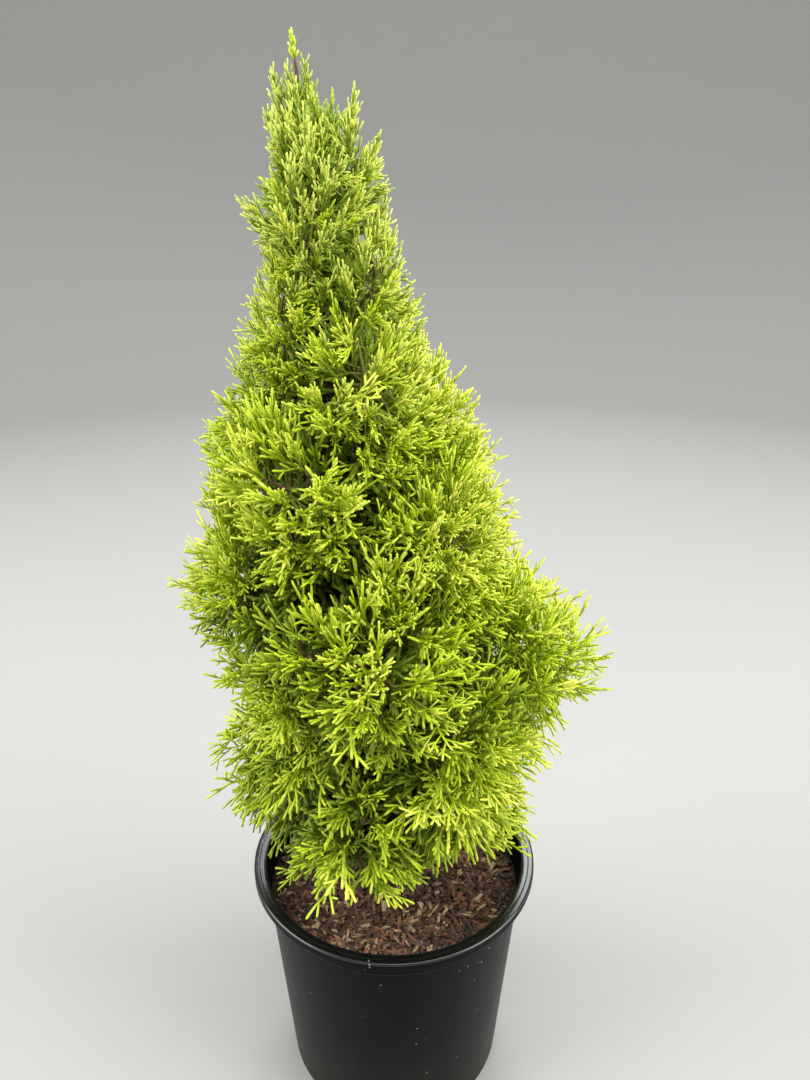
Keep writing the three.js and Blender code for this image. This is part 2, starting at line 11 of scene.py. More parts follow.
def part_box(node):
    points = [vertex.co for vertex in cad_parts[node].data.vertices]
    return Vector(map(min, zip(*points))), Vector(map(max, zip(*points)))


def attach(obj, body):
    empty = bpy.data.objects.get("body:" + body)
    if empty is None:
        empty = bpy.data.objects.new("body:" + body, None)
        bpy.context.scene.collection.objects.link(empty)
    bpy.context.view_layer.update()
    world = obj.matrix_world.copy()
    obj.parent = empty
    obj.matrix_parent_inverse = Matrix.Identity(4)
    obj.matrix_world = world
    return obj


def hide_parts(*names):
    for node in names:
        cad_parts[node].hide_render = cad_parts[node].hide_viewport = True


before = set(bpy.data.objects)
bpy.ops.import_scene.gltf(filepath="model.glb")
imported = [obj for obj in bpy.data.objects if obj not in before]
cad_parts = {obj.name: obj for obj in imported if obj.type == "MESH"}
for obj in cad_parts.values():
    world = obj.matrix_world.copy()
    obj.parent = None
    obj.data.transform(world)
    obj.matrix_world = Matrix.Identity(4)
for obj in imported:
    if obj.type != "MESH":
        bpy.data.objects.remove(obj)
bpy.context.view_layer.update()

bl_info = {
    "name": "Potted Cypress",
    "version": (1, 0, 0),
    "blender": (4, 5, 0),
    "location": "3D View > Sidebar > Cypress",
    "description": "Grows a young golden cypress in its pot: pot, compost, bark, twigs and sprays of needles",
    "category": "Add Mesh",
}

MM = 0.001
BODY = "root"
GOLDEN_ANGLE = math.radians(137.508)
UP = Vector((0, 0, 1))
ALONG_X = Vector((1, 0, 0))
SEED = 4711

# Sizes that come from the frame
_, POT_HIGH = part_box("pot")
SOIL_LOW, SOIL_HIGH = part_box("soil")
TRUNK_LOW, TRUNK_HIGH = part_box("trunk")
RIM_RADIUS = POT_HIGH.x
POT_HEIGHT = POT_HIGH.z
SOIL_FOOT = SOIL_LOW.z
SOIL_RADIUS = SOIL_HIGH.x
SOIL_TOP = SOIL_HIGH.z
TRUNK_FOOT = TRUNK_LOW.z
TRUNK_TOP = TRUNK_HIGH.z

# Pot: its rim has a lip that hangs down outside, a raised bead on top and a lower ledge inside that
RIM_WIDTH = 10.5 * MM
LIP_HEIGHT = 8 * MM
BASE_RADIUS = 109.5 * MM
SHOULDER_RADIUS = 127 * MM
SHOULDER_BELOW_RIM = 27 * MM
STACKING_STEP = 2 * MM
WALL = 1.8 * MM
FLOOR_THICKNESS = 3 * MM
EDGE_ROUNDING = 2 * MM
BEAD_TOP = 5.2 * MM
BEAD_FOOT = 6 * MM
BEAD_HEIGHT = 0.5 * MM
LEDGE_BEVEL = 1 * MM
LEDGE_DROP = 1.5 * MM
POLISHED_BAND = 2.4 * MM
POLISHED_SMOOTHER = 0.16
WALL_SPECULAR = 0.06
RIM_SPECULAR = 0.75
SHARP_ANGLE = math.radians(38)
POT_STEPS = 160
DRAIN_HOLES = 6
DRAIN_RADIUS = 7 * MM
DRAIN_CIRCLE = 88 * MM
DRILL_STEPS = 32

# Compost: the sinks, the relief and the shares are parts of its roughness
BED_RINGS = 44
BED_STEPS = 132
BED_ROUGHNESS = 3.2 * MM
MIDDLE_SINK = 0.35
WALL_SINK = 0.9
BED_RELIEF = 0.8
LUMPS_PER_METRE = 38
CRUMBS_PER_METRE = 120
LUMP_SHARE = 0.6
CRUMB_SHARE = 0.4

# Chips and shed twigs on the compost: tilts in radians, and a power that makes most of the chips dark
CHIP_COUNT = 3800
CHIP_KINDS = 4
DARK_CHIPS = 2.1
SPLINTER_SHARE = 0.7
LARGEST_CRUMB = 4 * MM
CHIP_THICKNESS = (0.5 * MM, 1.4 * MM)
FLAT_SHARE = 0.75
FLAT_TILT = 0.9
STEEP_TILT = 2.0
CHIP_MARGIN = 1 * MM
CHIP_PILE = 2.2 * MM
LITTER_COUNT = 420
LITTER_TILT = 0.7
LITTER_MARGIN = 9 * MM
CLEAR_OF_TRUNK = 16 * MM

# Trunk: the same lean, sway, taper and flare as the solid
SPROUT_LENGTH = 18 * MM
TREE_HEIGHT = TRUNK_TOP + SPROUT_LENGTH
LEAN = 69 * MM
LEAN_POWER = 1.25
SWAY = 5 * MM
TRUNK_RADIUS = 7.2 * MM
TRUNK_TIP_RADIUS = 0.9 * MM
ROOT_FLARE = 6.5 * MM
FLARE_HEIGHT = 13 * MM
ROOT_LOBES = 4
ROOT_LOBE_DEPTH = 0.16
TRUNK_ROWS = 20

# Relief of the bark, and how finely the limbs are divided
TRUNK_RELIEF = 0.45 * MM
BOUGH_RELIEF = 0.2 * MM
TRUNK_GRID = (32, 260)
BOUGH_GRID = (14, 44)
TRUNK_SUNK = 4 * MM

# Crown: how far the masses reach from the trunk's axis, to the left (-X) and to the right (+X), by height
CROWN_REACH = [
    (0.245, 0.112, 0.108), (0.300, 0.158, 0.150), (0.355, 0.162, 0.165), (0.410, 0.152, 0.178),
    (0.465, 0.150, 0.210), (0.515, 0.184, 0.178), (0.560, 0.160, 0.148), (0.610, 0.138, 0.136),
    (0.660, 0.126, 0.121), (0.710, 0.098, 0.096), (0.760, 0.076, 0.080), (0.800, 0.060, 0.065),
    (0.845, 0.061, 0.060), (0.885, 0.032, 0.054), (0.925, 0.024, 0.038), (0.945, 0.012, 0.012),
    (0.961, 0.006, 0.006),
]
FOLIAGE_FLOOR = 0.251
RISE_AT_SKIRT = math.radians(-24)
RISE_AT_TOP = math.radians(80)
RISE_POWER = 0.8

# Boughs and masses: the same places and curves as the solids
MASS_COUNT = 26
LOWEST_MASS = 0.292
HIGHEST_MASS = 0.900
HEIGHT_POWER = 1.12
FIRST_AZIMUTH = math.radians(-20)
MASS_UPRIGHTNESS = 1.25
MASS_CENTRE = 0.54
STEM_PART = 0.27
SHORTEST_STEM_PART = 0.040
BOUGH_RADIUS = 1.3 * MM
BOUGH_ROOT_SHARE = 0.018
BOUGH_TIP_SHARE = 0.004
BOUGH_CLIMB = math.radians(28.4)
BOUGH_CLIMB_BY_RISE = 0.72
BOUGH_KNEE = 0.45
BOUGH_ROWS = 2
LOWEST_BOUGH = 22 * MM
MASS_GAP = 0.6 * MM
LIMB_GAP = 1.2 * MM
FIT_GAP = 0.3 * MM

# How far the needles reach, as a share of the masses' reach to the left and to the right, by height
NEEDLE_REACH = [
    (0.276, 0.97, 0.88), (0.330, 0.98, 0.91), (0.380, 0.98, 0.90), (0.430, 0.82, 0.94), (0.470, 0.88, 1.07),
    (0.515, 0.97, 0.94), (0.550, 0.96, 0.92), (0.580, 0.91, 0.90), (0.617, 0.89, 0.98), (0.660, 1.00, 1.00),
    (0.730, 0.96, 1.00), (0.757, 0.91, 1.00), (0.800, 0.77, 0.98), (0.830, 0.85, 0.95), (0.845, 1.05, 0.95),
    (0.865, 0.85, 1.00), (0.885, 0.83, 1.02),
]

# How far out sprays and limbs may go, as a share of the needles' reach, and how far above the leader's tip
OVERREACH = 1.05
LIMB_REACH = 0.8
TIP_ROOM = 4 * MM

# Limbs further than this from a mass aren't looked at when its space is measured
NEARBY = 1.6 * RIM_RADIUS

# Plume tips: spread over the crown's surface and over smaller crowns inside it (size, share of the plumes)
SHELLS = ((1.0, 1.0), (0.74, 0.5), (0.5, 0.42), (0.24, 0.3))
TARGET_LEVELS = 120
TARGETS_BELOW_TIP = 2 * MM
HEIGHT_SCATTER = 6 * MM
AZIMUTH_SCATTER = 0.1
TOP_FULLNESS = 0.15
LOBE_START = 0.37
LOBE_SLOPE = 0.33
TIP_SCATTER = 0.07
DEEPEST_TIP = 0.66
HOLLOW = 0.26
HOLLOWS_BELOW = 0.62
HOLLOWS_FADE = 0.15
HOLLOW_ON_LIT_SIDE = 0.35

# The lower skirt lifts clear of the compost in front, and the crown is thin inside its lower left
SKIRT = 0.272
SKIRT_LIFT = 44 * MM
SKIRT_SIDE_LIFT = 32 * MM
OPEN_AZIMUTH = math.radians(195)
OPEN_WIDTH = math.radians(34)
OPEN_LOW = 0.36
OPEN_HIGH = 0.47

# Twigs that fork off the masses' stems
TWIG_RADIUS = 1.7 * MM
TWIG_ANGLE = math.radians(42)
TWIG_STARTS = (0.25, 0.6, 0.8)
TWIG_ROOM = 0.8
SHORTEST_TWIG = 4 * TWIG_RADIUS
SHORTEST_LIMB = 5 * MM
LIMB_SIDES = 6
SHOOT_SIDES = 4
GREEN_TWIGS = 0.66

# Plumes, each a twig of the last order with its sprays. The twig ends short of the plume's tip by a share
# of its longest spray, and bends at a share of its reach before that. Low down it turns up little
PLUME_RADIUS = 0.95 * MM
PLUME_TIP_RADIUS = 0.45 * MM
LONGEST_PLUME = 0.115
PLUME_END = 0.45
PLUME_KNEE = 0.35
TURN_UP_LOW = 0.9
TURN_UP_HIGH = 2.2
SWEEP_LOW = 0.22
SWEEP_HIGH = 0.5
CLOSED_AT_TOP = 0.7

# Sprays along a plume: stout and far apart in the lower crown, fine and close at the top
SPRAY_SPACING = 6.6 * MM
SPACING_LOW = 1.9
FIRST_SPRAY = 0.2
FEWEST_SPRAYS = 4
SPRAY_ANGLE_LOW = math.radians(50)
SPRAY_ANGLE_HIGH = math.radians(35)
LEAN_SCATTER = 0.2
SPRAY_OVERHANG = 6 * MM
SECOND_TRY = 0.6
SPRAY_SIZES = (0.011, 0.018, 0.028, 0.040)
SIZE_FIT = (0.75, 1.15)
LONGEST_SPRAY = 0.040
SHORTEST_SPRAY = 0.018
SHAPES_PER_SIZE = 5
VIGOUR_LOW = 1.22
VIGOUR_HIGH = 0.85
SPRAY_RISE = 0.16
SPRAY_DROOP = -0.1
DROOP_BELOW = 0.45

# Shapes of sprays: cords lean from the rib by degrees, the more the nearer to its foot
CORD_SIDES = 3
RIB_BOW = 0.12
BARE_FOOT = 3 * MM
FEWEST_CORDS = 3
CORD_LEANS = (52, 30)
CORD_LEAN_SCATTER = 14
TURNED_CORDS = 0.25
CORD_SHARE = 0.6
SECOND_FORK = 1.35

# The top: slender shoots stand up round the leader, each with its tip's height, angle about the stem in
# degrees and distance from it in mm. What grows on them leans by degrees, from foot to tip
TUFTS_END = 0.905
TUFT_OVERLAP = 8 * MM
TOP_SHOOTS = [
    (0.934, 180, 17), (0.921, 0, 40), (0.930, 40, 9), (0.917, 330, 27), (0.908, 170, 26), (0.890, 5, 52),
    (0.924, 265, 16), (0.912, 100, 24), (0.905, 230, 27), (0.898, 295, 33), (0.900, 60, 34), (0.893, 140, 30),
    (0.940, 345, 7), (0.936, 215, 7), (0.918, 300, 20),
]
SHOOT_LENGTH = 0.062
SHOOT_RADII = (0.9 * MM, 0.7 * MM, 0.5 * MM)
SHOOT_LEANS = (36, 10)
SHOOT_LEAN_SCATTER = 8
SHOOT_SPACING = 3.6 * MM
LONGEST_SHOOT_SPRAY = 18 * MM
SHORTEST_SHOOT_SPRAY = 7 * MM
LEADER_CORDS = 16
LEADER_LEANS = (32, 10)
LEADER_CORD_LENGTHS = (8.5, 5)
LEADER_CORD_RADII = (0.8 * MM, 0.95 * MM)

# Changes up the crown: the height where each begins, and the height over which it goes on
TURNING_UP = (0.5, 0.3)
CLOSING_UP = (0.5, 0.35)
GROWING_FINER = (0.45, 0.3)
GROWING_CLOSER = (0.45, 0.25)
SHADED_TOP = (0.7, 0.14)
PALE_TOP = (0.68, 0.16)

# The heights between which one kind of spray gives way to the next
LOW_TO_WIDE = (0.46, 0.6)
WIDE_TO_HIGH = (0.62, 0.76)

# Shade that is painted into the needles' tone: how deep in the crown growth is fully shaded, and what alters
# its tone from place to place
SHADE_DEPTH = 0.052
# Less painted shade on the lit right side, which paints its needles paler
LIT_SIDE_SHADE = 0.66
TOP_SHADE = 0.1
SKIRT_SHADE = 0.12
SHADED_BELOW = 0.42
SHADED_FADE = 0.12
TONE_SCATTER = 0.16
TONE_LIFT = 0.35
SHADE_POINT = 0.7
TOP_PALENESS = 0.9

# Growth in deeper shade than this has stout plain cords, and a share of it is dying back
HIDDEN = 0.82
DYING_SHARE = 0.04

# Places in the list of needle materials
SHADED = 5
DYING = 6
SOFT = 7

# The needles are split into pieces of no more triangles than this
PIECE_TRIANGLES = 190_000


def lerp(a, b, part):
    return a + (b - a) * part


def clamp(value, low, high):
    return max(low, min(high, value))


def ramp(value, start, length):
    """Rises from 0 to 1 while a value goes from a start over a length."""
    return clamp((value - start) / length, 0, 1)


def square_to(way, steepest=0.9):
    """A direction square to another: level, unless that one is steep."""
    return way.cross(UP if abs(way.z) < steepest else ALONG_X).normalized()


def squared(side, way):
    """A direction made square to another that it is near to square to."""
    return (side - way * side.dot(way)).normalized()


def leaned(way, side, angle):
    """A direction that leans by an angle from one way towards a side that is square to it."""
    return way * math.cos(angle) + side * math.sin(angle)


def turned(vector, axis, angle):
    """A vector turned about an axis that it is square to."""
    return leaned(vector, axis.cross(vector), angle)


def bend_through(start, knee, end):
    """A quadratic curve, as a function of the part along it."""
    return lambda part: start * (1 - part) ** 2 + knee * (2 * part * (1 - part)) + end * part ** 2


def linear(channel):
    """One sRGB channel from 0 to 1 as a linear one."""
    return channel / 12.92 if channel <= 0.04045 else ((channel + 0.055) / 1.055) ** 2.4


def colour(hex_code):
    """An sRGB hex code as a linear colour."""
    return tuple(linear(int(hex_code[n:n + 2], 16) / 255) for n in (1, 3, 5))


def seeded(seed):
    """A repeatable stream of numbers from 0 to 1."""
    word = 0xFFFFFFFF
    state = seed & word

    def draw():
        nonlocal state
        state = (state + 0x6D2B79F5) & word
        stirred = ((state ^ (state >> 15)) * (state | 1)) & word
        stirred ^= (stirred + ((stirred ^ (stirred >> 7)) * (stirred | 61))) & word
        return ((stirred ^ (stirred >> 14)) & word) / (word + 1)

    return draw


# Settings that a user would change

class CypressPotSettings(bpy.types.PropertyGroup):
    plastic: bpy.props.FloatVectorProperty(
        name="Plastic", description="Colour of the pot's plastic", subtype="COLOR", size=3,
        min=0, max=1, default=colour("#0b0b0c"))
    gloss: bpy.props.FloatProperty(
        name="Roughness", description="How rough the moulded surface is", subtype="FACTOR",
        min=0, max=1, default=0.36)
    chip_length: bpy.props.FloatProperty(
        name="Chip length", description="Length of the longest bark chips", unit="LENGTH",
        min=0.002, max=0.03, default=0.017)
    chip_colour: bpy.props.FloatVectorProperty(
        name="Chips", description="Colour of most bark chips", subtype="COLOR", size=3,
        min=0, max=1, default=colour("#6a4a34"))


class CypressCrownSettings(bpy.types.PropertyGroup):
    tip: bpy.props.FloatVectorProperty(
        name="Young tips", description="Colour of the youngest needles", subtype="COLOR", size=3,
        min=0, max=1, default=colour("#d6de52"))
    lime: bpy.props.FloatVectorProperty(
        name="Outer needles", description="Colour of the outer needles", subtype="COLOR", size=3,
        min=0, max=1, default=colour("#b3c81c"))
    deep: bpy.props.FloatVectorProperty(
        name="Inner needles", description="Colour of the shaded needles", subtype="COLOR", size=3,
        min=0, max=1, default=colour("#667b12"))
    bark: bpy.props.FloatVectorProperty(
        name="Bark", description="Colour of the young bark", subtype="COLOR", size=3,
        min=0, max=1, default=colour("#6e4a34"))
    needle_width: bpy.props.FloatProperty(
        name="Needle cords", description="Thickness of a cord of scale needles", unit="LENGTH",
        min=0.0005, max=0.004, default=0.0022)
    plumes: bpy.props.IntProperty(
        name="Plumes", description="How many plumes the crown carries", min=50, max=800, default=500)


class CypressStageSettings(bpy.types.PropertyGroup):
    floor: bpy.props.FloatVectorProperty(
        name="Floor", description="Colour of the floor and backdrop", subtype="COLOR", size=3,
        min=0, max=1, default=colour("#9f9e9a"))
    sky: bpy.props.FloatProperty(
        name="Sky", description="Strength of the light from all round", min=0, max=5, default=0.9)
    softbox: bpy.props.FloatProperty(
        name="Softbox", description="Power of the large lamp overhead", unit="POWER",
        min=0, max=500, default=36)


# Materials

def node(tree, kind, links=None, stops=(), **settings):
    """Adds a node with its settings. links maps an input to a value, or to the (node, output) that feeds it.
    stops are the (position, colour) stops of a colour ramp."""
    made = tree.nodes.new("ShaderNode" + kind)
    for name, value in settings.items():
        setattr(made, name, value)
    for name, value in (links or {}).items():
        if isinstance(value, tuple) and isinstance(value[0], bpy.types.Node):
            tree.links.new(value[0].outputs[value[1]], made.inputs[name])
        else:
            made.inputs[name].default_value = value
    for n, (place, tint) in enumerate(stops):
        stop = made.color_ramp.elements.new(place) if n > 1 else made.color_ramp.elements[n]
        stop.position = place
        stop.color = (*tint, 1)
    return made


def blank(name):
    """A new material and its empty node tree."""
    made = bpy.data.materials.new(name)
    made.use_nodes = True
    made.node_tree.nodes.clear()
    return made, made.node_tree


def finished(made, shader):
    """A material, once its shader is on its surface."""
    node(made.node_tree, "OutputMaterial", {"Surface": (shader, "BSDF")})
    return made


def mixed(a, b, part):
    """A colour between two others."""
    return tuple(lerp(x, y, part) for x, y in zip(a, b))


def scaled(tint, factor):
    """A darker or lighter shade of a colour."""
    return tuple(factor * channel for channel in tint)


def pot_plastic(name, settings, smoother, gloss_level):
    """Injection-moulded black polypropylene: satin and fine-grained, with soft streaks and dust."""
    made, tree = blank(name)
    place = node(tree, "TexCoord")
    # Flow streaks from the moulding, 6 mm wide and ten times as long
    run = node(tree, "Mapping", {"Vector": (place, "Object"), "Scale": (160, 160, 14)})
    streaks = node(tree, "TexNoise", {"Vector": (run, "Vector"), "Scale": 1.0, "Detail": 3.0})
    # Dust and water marks, in clouds 40 mm wide
    clouds = node(tree, "TexNoise", {"Vector": (place, "Object"), "Scale": 25.0, "Detail": 5.0})
    # Specks of grit 1 mm wide, a few to each hand's breadth
    specks = node(tree, "TexVoronoi", {"Vector": (place, "Object"), "Scale": 110.0})
    speck = node(tree, "Math", {0: (specks, "Distance"), 1: 0.09}, operation="LESS_THAN")
    rare = node(tree, "Math", {0: (clouds, "Fac"), 1: 0.54}, operation="GREATER_THAN")
    grit = node(tree, "Math", {0: (speck, "Value"), 1: (rare, "Value")}, operation="MULTIPLY")
    # A film of dried mud near the foot, gone 110 mm above it
    height = node(tree, "SeparateXYZ", {"Vector": (place, "Object")})
    low = node(tree, "MapRange", {
        "Value": (height, "Z"), "From Min": 0.0, "From Max": 110 * MM, "To Min": 0.25, "To Max": 0.0})
    film = node(tree, "Math", {0: (low, "Result"), 1: (clouds, "Fac")}, operation="MULTIPLY")
    base = tuple(settings.plastic)
    body = node(tree, "ValToRGB", {"Fac": (clouds, "Fac")},
                stops=((0.3, scaled(base, 0.8)), (0.72, scaled(base, 1.3))))
    muddy = node(tree, "Mix", data_type="RGBA", links={
        "Factor": (film, "Value"), "A": (body, "Color"), "B": (*colour("#4a4a38"), 1)})
    dusty = node(tree, "Mix", data_type="RGBA", links={
        "Factor": (grit, "Value"), "A": (muddy, "Result"), "B": (*colour("#8f8d84"), 1)})
    rough = node(tree, "MapRange", {
        "Value": (streaks, "Fac"), "From Min": 0.3, "From Max": 0.7,
        "To Min": settings.gloss - smoother - 0.02, "To Max": settings.gloss - smoother + 0.03})
    # Spark grain of the mould, drawn at 1.2 mm so that it shows
    grain = node(tree, "TexNoise", {"Vector": (place, "Object"), "Scale": 800.0, "Detail": 2.0})
    bump = node(tree, "Bump", {"Strength": 0.1, "Distance": 0.4 * MM, "Height": (grain, "Fac")})
    shader = node(tree, "BsdfPrincipled", {
        "Base Color": (dusty, "Result"), "Roughness": (rough, "Result"), "Normal": (bump, "Normal"),
        "IOR": 1.49, "Specular IOR Level": gloss_level})
    return finished(made, shader)


def compost_material():
    """Composted bark, moist: nearly black fines with brown crumbs, dull apart from damp glints. Its colour is
    darker in the low gaps between crumbs, partly as painted shade.
    """
    made, tree = blank("moist_bark_compost")
    place = node(tree, "TexCoord")
    # Crumbs 3 mm wide over fines of 1 mm
    crumbs = node(tree, "TexVoronoi", {"Vector": (place, "Object"), "Scale": 330.0})
    fines = node(tree, "TexNoise", {"Vector": (place, "Object"), "Scale": 700.0, "Detail": 4.0})
    tone = node(tree, "Math", {0: (crumbs, "Distance"), 1: (fines, "Fac")}, operation="MULTIPLY")
    # Light on the raised crumbs and dark in the low gaps, on the same pattern as the bump: the fines' own
    # dark colour, and painted shade in the gaps
    shade = node(tree, "ValToRGB", {"Fac": (tone, "Value")}, stops=(
        (0.06, colour("#57412c")), (0.42, colour("#1a130b")), (0.22, colour("#35281b"))))
    bump = node(tree, "Bump", {"Strength": 0.9, "Distance": 2 * MM, "Height": (tone, "Value")}, invert=True)
    shader = node(tree, "BsdfPrincipled", {
        "Base Color": (shade, "Color"), "Roughness": 0.88, "Normal": (bump, "Normal")})
    return finished(made, shader)


def chip_material(name, tint):
    """Pine bark, chipped: fibrous and flaky, from dark cork to pale torn fibre."""
    made, tree = blank(name)
    place = node(tree, "TexCoord")
    # Fibres 0.8 mm apart, drawn out across the chip
    run = node(tree, "Mapping", {"Vector": (place, "Object"), "Scale": (1.0, 0.3, 1.0)})
    fibre = node(tree, "TexNoise", {"Vector": (run, "Vector"), "Scale": 1250.0, "Detail": 2.0})
    shade = node(tree, "ValToRGB", {"Fac": (fibre, "Fac")},
                 stops=((0.3, scaled(tint, 0.7)), (0.75, scaled(tint, 1.3))))
    bump = node(tree, "Bump", {"Strength": 0.6, "Distance": 0.8 * MM, "Height": (fibre, "Fac")})
    shader = node(tree, "BsdfPrincipled", {
        "Base Color": (shade, "Color"), "Roughness": 0.7, "Normal": (bump, "Normal")})
    return finished(made, shader)


def bark_material(settings):
    """Young cypress bark: thin reddish brown strips that peel along the limb, greyer where they weather."""
    made, tree = blank("peeling_cypress_bark")
    run = node(tree, "UVMap", uv_map="bark_run")
    # Strips 1.4 mm wide and eight times as long
    strips_run = node(tree, "Mapping", {"Vector": (run, "UV"), "Scale": (720, 90, 1)})
    strips = node(tree, "TexNoise", {"Vector": (strips_run, "Vector"), "Scale": 1.0, "Detail": 4.0})
    grey_run = node(tree, "Mapping", {"Vector": (run, "UV"), "Scale": (90, 40, 1)})
    greys = node(tree, "TexNoise", {"Vector": (grey_run, "Vector"), "Scale": 1.0, "Detail": 2.0})
    bark = tuple(settings.bark)
    shade = node(tree, "ValToRGB", {"Fac": (strips, "Fac")},
                 stops=((0.3, scaled(bark, 0.35)), (0.72, colour("#9a7458")), (0.52, bark)))
    weather = node(tree, "MapRange", {
        "Value": (greys, "Fac"), "From Min": 0.45, "From Max": 0.7, "To Min": 0.0, "To Max": 0.5})
    tint = node(tree, "Mix", data_type="RGBA", links={
        "Factor": (weather, "Result"), "A": (shade, "Color"), "B": (*colour("#7a6f60"), 1)})
    bump = node(tree, "Bump", {"Strength": 0.7, "Distance": 0.6 * MM, "Height": (strips, "Fac")})
    shader = node(tree, "BsdfPrincipled", {
        "Base Color": (tint, "Result"), "Roughness": 0.82, "Normal": (bump, "Normal")})
    return finished(made, shader)


def plain_material(name, tint, roughness):
    """One constant finish, for what is too fine to show a pattern or is only the stage."""
    made, tree = blank(name)
    return finished(made, node(tree, "BsdfPrincipled", {"Base Color": (*tint, 1), "Roughness": roughness}))


def needle_material(name, tint):
    """Scale needles: waxy, a little translucent, and knobbly where the tips of the scales stand out."""
    made, tree = blank(name)
    place = node(tree, "TexCoord")
    # Scales 1.6 mm apart
    scales = node(tree, "TexVoronoi", {"Vector": (place, "Object"), "Scale": 620.0})
    bump = node(tree, "Bump", {"Strength": 0.45, "Distance": 0.6 * MM, "Height": (scales, "Distance")},
                invert=True)
    shader = node(tree, "BsdfPrincipled", {
        "Base Color": (*tint, 1), "Roughness": 0.5, "IOR": 1.42, "Normal": (bump, "Normal"),
        "Subsurface Weight": 0.12, "Subsurface Scale": 1.5 * MM})
    return finished(made, shader)


def needle_materials(settings):
    """The tones that are dealt out by spray, from the youngest tips to the older growth inside, and darker as
    painted shade the deeper the growth is in the crown.
    """
    tip, lime, deep = tuple(settings.tip), tuple(settings.lime), tuple(settings.deep)
    tones = [
        ("needles_young_tip", tip),
        ("needles_yellow_lime", mixed(tip, lime, 0.55)),
        ("needles_lime", lime),
        ("needles_fresh_green", mixed(lime, deep, 0.4)),
        ("needles_old_green_and_painted_shade", mixed(lime, deep, 0.75)),
        ("needles_shaded", deep),
        ("needles_dying_back", colour("#4c3e22")),
        ("needles_soft_tip", mixed(tip, colour("#b3c156"), 0.6)),
        ("needles_soft_green", mixed(lime, colour("#7f963c"), 0.6)),
    ]
    return [needle_material(name, tint) for name, tint in tones]


# Meshes

def shown(name, data):
    """A new object in the scene."""
    made = bpy.data.objects.new(name, data)
    bpy.context.scene.collection.objects.link(made)
    return made


def piece(name, mesh, materials, replaced=()):
    """Puts a finished mesh in the scene as a piece that rides on the plant's one body."""
    for material in materials:
        mesh.materials.append(material)
    made = shown(name, mesh)
    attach(made, BODY)
    if replaced:
        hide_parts(*replaced)
    return made


def mesh_of(bm, name, smooth=True):
    """A bmesh as a finished mesh."""
    for face in bm.faces:
        face.smooth = smooth
    mesh = bpy.data.meshes.new(name)
    bm.to_mesh(mesh)
    bm.free()
    return mesh


class Heap:
    """Many small closed shapes, gathered as arrays for one joined mesh."""

    def __init__(self):
        self.points, self.corners, self.slots, self.count = [], [], [], 0

    def add(self, points, corners, slots):
        """Adds a shape, with one material slot for all its triangles or one for each."""
        self.points.append(points)
        self.corners.append(corners + self.count)
        self.slots.append(np.broadcast_to(slots, len(corners)))
        self.count += len(points)

    def triangles(self):
        return sum(len(part) for part in self.corners)

    def mesh(self, name, smooth=True):
        points = np.concatenate(self.points).astype(np.float32)
        corners = np.concatenate(self.corners).astype(np.int32)
        slots = np.concatenate(self.slots).astype(np.int32)
        mesh = bpy.data.meshes.new(name)
        mesh.vertices.add(len(points))
        mesh.vertices.foreach_set("co", points.ravel())
        mesh.loops.add(corners.size)
        mesh.loops.foreach_set("vertex_index", corners.ravel())
        mesh.polygons.add(len(corners))
        mesh.polygons.foreach_set("loop_start", np.arange(0, corners.size, 3, dtype=np.int32))
        mesh.polygons.foreach_set("material_index", slots)
        mesh.polygons.foreach_set("use_smooth", np.full(len(corners), smooth))
        mesh.update(calc_edges=True)
        return mesh


def chain(points, radii, sides, roll=0.0):
    """A closed round shoot through points: a base, rings that turn half a step each, and a tip.
    Returns its points and its triangles."""
    points = [Vector(point) for point in points]
    side = square_to((points[1] - points[0]).normalized())
    rings = []
    for n, radius in enumerate(radii):
        forward = (points[min(n + 1, len(points) - 1)] - points[max(n - 1, 0)]).normalized()
        side = squared(side, forward)
        face = forward.cross(side)
        for k in range(sides):
            angle = roll + (k + 0.5 * n) * 2 * math.pi / sides
            rings.append(points[n] + radius * (math.cos(angle) * side + math.sin(angle) * face))
    last = sides * (len(radii) - 1)
    corners = [(0, k + 1, k) for k in range(1, sides - 1)]  # The base
    for n in range(len(radii) - 1):
        a, b = n * sides, (n + 1) * sides
        for k in range(sides):
            after = (k + 1) % sides
            corners.append((a + k, a + after, b + k))
            corners.append((a + after, b + after, b + k))
    tip = len(rings)
    rings.append(points[len(radii)])
    corners += [(last + k, last + (k + 1) % sides, tip) for k in range(sides)]
    return np.array(rings), np.array(corners)


# Pot

def rounded(corners, radius, steps=4):
    """An open outline with its inner corners rounded."""
    made = [corners[0]]
    for before, corner, after in zip(corners, corners[1:], corners[2:]):
        back = (before - corner).normalized()
        ahead = (after - corner).normalized()
        cut = min(radius, 0.4 * (before - corner).length, 0.4 * (after - corner).length)
        for n in range(steps + 1):
            part = n / steps
            made.append(corner + back * cut * (1 - part) ** 2 + ahead * cut * part ** 2)
    made.append(corners[-1])
    return made


def spun(outline, steps):
    """A surface of revolution from an outline of (radius, height), closed where that ends on the axis."""
    bm = bmesh.new()
    verts = [bm.verts.new((max(point.x, 0), 0, point.y)) for point in outline]
    edges = [bm.edges.new(pair) for pair in zip(verts, verts[1:])]
    bmesh.ops.spin(bm, geom=verts + edges, cent=(0, 0, 0), axis=(0, 0, 1), dvec=(0, 0, 0),
                   angle=2 * math.pi, steps=steps, use_merge=True)
    bmesh.ops.remove_doubles(bm, verts=bm.verts, dist=1e-6)
    bmesh.ops.dissolve_degenerate(bm, edges=bm.edges, dist=1e-7)
    bmesh.ops.recalc_face_normals(bm, faces=bm.faces)
    return bm


def inner_radius(height):
    """The inside of the pot's wall at a height."""
    slope = (SHOULDER_RADIUS - BASE_RADIUS) / (POT_HEIGHT - SHOULDER_BELOW_RIM)
    return BASE_RADIUS - WALL + slope * height


